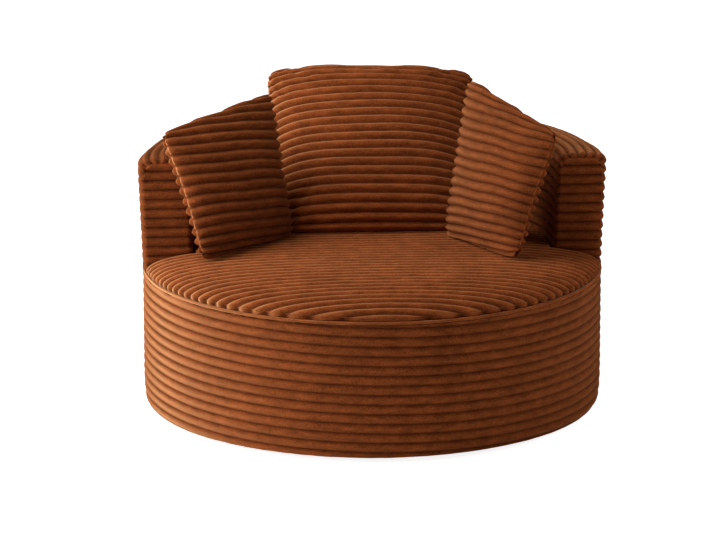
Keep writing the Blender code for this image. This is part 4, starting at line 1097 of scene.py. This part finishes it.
class ARMCHAIR_OT_underside(bpy.types.Operator):
    """Stretch the black cloth under the chair and staple it"""

    bl_idname = "armchair.underside"
    bl_label = "Underside"

    def execute(self, context):
        inner, outer = self.opening(), CLOTH_HIGH[0]
        level = CLOTH_HIGH[2] - CLOTH_SINK
        radii = np.linspace(inner, outer, CLOTH_RINGS + 1)[:, None]
        angles = np.linspace(0, 2 * np.pi, CLOTH_STEPS + 1)
        angles[-1] = 0
        share = (radii - inner) / (outer - inner)
        waves = np.sin(SAG_WAVES[0] * angles) * np.sin(SAG_WAVES[1] * angles)
        sag = CLOTH_SAG * np.sin(np.pi * share) * (1 + SAG_UNEVENNESS * waves)
        grid = np.stack([radii * np.cos(angles), radii * np.sin(angles), level - sag], -1)
        cloth = grid_mesh("dust_cloth", [(grid, ON_CREST, 1.0)])
        cloth.data.materials.append(black_cloth())
        bm = bmesh.new()
        bmesh.ops.create_cube(bm, size=1)
        bmesh.ops.scale(bm, verts=bm.verts, vec=STAPLE_SIZE)
        bmesh.ops.bevel(bm, geom=bm.edges, offset=STAPLE_EDGE, segments=2, affect="EDGES")
        staple = mesh_of(bm, "staple")
        line = ring(outer - STAPLE_INSET, level - STAPLE_SINK)
        line = line_object("dust_cloth_staples", line, closed=True)
        # Pale grey and a little cloudy from its zinc
        steel = metal("Galvanised staple wire", "B4B6B8", roughness=0.35, spread=0.08)
        tree = bpy.data.node_groups.get("Repeat along a line") or repeat_tree()
        staples = applied(line, tree, {"Piece": staple, "Spacing": STAPLE_SPACING, "Finish": steel})
        remove(staple)
        for piece in (cloth, staples):
            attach(piece, "chair")
        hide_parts("dust_cover")
        return {"FINISHED"}

    def opening(self):
        """The radius of the cloth's round opening."""
        points = np.array([tuple(v.co)[:2] for v in frame["nodes"]["dust_cover"].data.vertices])
        return float(np.hypot(*points.T).min())


class ARMCHAIR_OT_finishes(bpy.types.Operator):
    """Give the solid parts of the frame and the swivel their real finishes"""

    bl_idname = "armchair.finishes"
    bl_label = "Frame and swivel finishes"

    def execute(self, context):
        finishes = {
            # Pale and matt, with wide grain lines that the planer leaves smooth
            "pine": wood("Planed pine", "D0AC7C", "A87F4E", grain=0.006, roughness=0.7),
            # A little paler and closer in grain, as a peeled and sanded face is
            "plywood": wood("Sanded birch plywood", "CFB083", "AF8A57", grain=0.004,
                            roughness=0.65),
            # Brown and nearly plain, with the fleck of pressed fibres
            "hardboard": wood("Bent hardboard", "85603F", "6A482C", grain=0.0015, roughness=0.75),
            # Cream, dull and finely pitted by its open cells
            "foam": fibrous("Open-cell upholstery foam", "EDE6D2", "CFC5A6", size=0.0012),
            # White and soft, with fibres laid flat in layers
            "fibre_wadding": fibrous("Bonded polyester wadding", "F0EEE8", "D2CFC6", size=0.004,
                                     stretch=(0.3, 0.3, 1)),
            # Grey and flecked by the waste fibres it is needled from
            "felt": fibrous("Needled spring felt", "9C9C97", "6E6E6A", size=0.0025),
            "black_dust_cloth": black_cloth(),
            # Darker and glossier than plate, because the wire is drawn and left bare
            "spring_steel": metal("Drawn spring steel", "9FA1A4", roughness=0.32, spread=0.08),
            # Bright and slightly cloudy
            "zinc_plated_steel": metal("Zinc-plated pressed steel", "BFC2C4", roughness=0.38,
                                       spread=0.1),
            # Near black with the low, even gloss of a textured mould
            "glide_plastic": plastic("Moulded black polyamide", "1B1B1C", roughness=0.55),
            # Dyed to the pile's tone and duller than the glides
            "zip_rust": plastic("Dyed coil zip", "7C4122", roughness=0.65),
            "rust_corduroy": cloth_of(context),
        }
        for part in frame["record"]["subparts"]:
            obj = frame["nodes"][part["node"]]
            for slot in obj.material_slots:
                slot.link = "OBJECT"
                slot.material = finishes[part["material_slot"]]
        return {"FINISHED"}


class ARMCHAIR_OT_stage(bpy.types.Operator):
    """Set up the white floor, the lights and the camera"""

    bl_idname = "armchair.stage"
    bl_label = "Studio"

    def execute(self, context):
        settings = context.scene.armchair_stage
        self.floor()
        self.sky(settings.sky)
        self.lamp("low_key", settings.low, azimuth=-82, elevation=12, tint="F0F8FF")
        self.lamp("high_key", settings.high, azimuth=-82, elevation=60)
        self.lamp("front", settings.front, azimuth=-55, elevation=35)
        self.lamp("fill", settings.fill, azimuth=80, elevation=25)
        self.camera()
        return {"FINISHED"}

    def floor(self):
        """White paper that keeps the chair's shadow."""
        bm = bmesh.new()
        bmesh.ops.create_grid(bm, x_segments=1, y_segments=1, size=12)
        floor = mesh_of(bm, "floor")
        made, tree, shader, place = material("White studio paper")
        feed(tree, shader, {"Base Color": linear("F4F4F3"), "Roughness": 0.9,
                            "Specular IOR Level": 0.1})
        # Lifted to pure white away from the chair, and a little less near it, where shadow lies
        away = node(tree, VECTOR_MATH, place, out="Value", operation="LENGTH")
        level = node(tree, RANGE, {"Value": away, "From Min": 0.7, "From Max": 1.8,
                                   "To Min": 0.88, "To Max": 1.0})
        lift = node(tree, MATH, seen_rays(tree), level, operation="MULTIPLY")
        glow = node(tree, "ShaderNodeEmission", {"Color": (1, 1, 1, 1), "Strength": lift})
        both = node(tree, "ShaderNodeAddShader", shader.outputs[0], glow)
        feed(tree, tree.nodes["Material Output"], {"Surface": both})
        floor.data.materials.append(made)

    def sky(self, strength):
        """Weak light from all round, which looks white."""
        world = bpy.data.worlds.new("Studio")
        world.use_nodes = True
        tree = world.node_tree
        tree.nodes.clear()
        level = node(tree, MATH, seen_rays(tree), 1 - strength, strength, operation="MULTIPLY_ADD")
        glow = node(tree, "ShaderNodeBackground", {"Color": (1, 1, 1, 1), "Strength": level})
        node(tree, "ShaderNodeOutputWorld", {"Surface": glow})
        bpy.context.scene.world = world

    def lamp(self, name, power, azimuth, elevation, size=1.8, distance=3.2, tint="FFFFFF"):
        """A square light that faces the chair from an azimuth, counted from the front."""
        data = bpy.data.lights.new(name, "AREA")
        data.energy = power
        data.color = linear(tint)[:3]
        data.size = size
        light = linked(bpy.data.objects.new(name, data))
        self.aimed(light, azimuth, elevation, distance, height=0.35)

    def camera(self):
        """A long lens far away, 14 degrees above the horizon and a little to the left."""
        data = bpy.data.cameras.new("camera")
        data.lens = 234.5
        data.sensor_width = 36
        data.shift_x, data.shift_y = -0.0196, -0.0089
        camera = linked(bpy.data.objects.new("camera", data))
        self.aimed(camera, azimuth=-3.5, elevation=14.4, distance=11.0, height=0.33)
        bpy.context.scene.camera = camera
        bpy.context.scene.view_settings.view_transform = "Standard"

    def aimed(self, obj, azimuth, elevation, distance, height):
        """Puts a lamp or a camera where it faces a point over the chair's middle."""
        a, e = math.radians(azimuth), math.radians(elevation)
        away = Vector((math.sin(a) * math.cos(e), -math.cos(a) * math.cos(e), math.sin(e)))
        obj.location = Vector((0, 0, height)) + away * distance
        obj.rotation_euler = (-away).to_track_quat("-Z", "Y").to_euler()


class ARMCHAIR_PT_panel(bpy.types.Panel):
    """Lists the steps that dress the armchair"""

    bl_idname = "ARMCHAIR_PT_panel"
    bl_label = "Round Armchair"
    bl_space_type = "VIEW_3D"
    bl_region_type = "UI"
    bl_category = "Armchair"

    def draw(self, context):
        for operator in OPERATORS:
            self.layout.operator(operator.bl_idname)
        for group in SETTINGS:
            settings = getattr(context.scene, group)
            for key in settings.bl_rna.properties.keys():
                if key not in ("rna_type", "name"):
                    self.layout.prop(settings, key)


OPERATORS = (ARMCHAIR_OT_drum, ARMCHAIR_OT_welt, ARMCHAIR_OT_seat, ARMCHAIR_OT_back,
             ARMCHAIR_OT_pillows, ARMCHAIR_OT_underside, ARMCHAIR_OT_finishes, ARMCHAIR_OT_stage)
SETTINGS = {"armchair_cloth": ClothSettings, "armchair_shape": ShapeSettings,
            "armchair_pillows": PillowSettings, "armchair_stage": StageSettings}


def register():
    for group in (*SETTINGS.values(), *OPERATORS, ARMCHAIR_PT_panel):
        bpy.utils.register_class(group)
    for name, group in SETTINGS.items():
        setattr(bpy.types.Scene, name, PointerProperty(type=group))


def unregister():
    for name in SETTINGS:
        delattr(bpy.types.Scene, name)
    for group in (ARMCHAIR_PT_panel, *reversed(OPERATORS), *SETTINGS.values()):
        bpy.utils.unregister_class(group)


def main():
    register()
    bpy.ops.armchair.drum()
    bpy.ops.armchair.welt()
    bpy.ops.armchair.seat()
    bpy.ops.armchair.back()
    bpy.ops.armchair.pillows()
    bpy.ops.armchair.underside()
    bpy.ops.armchair.finishes()
    bpy.ops.armchair.stage()


if __name__ == "__main__":
    main()
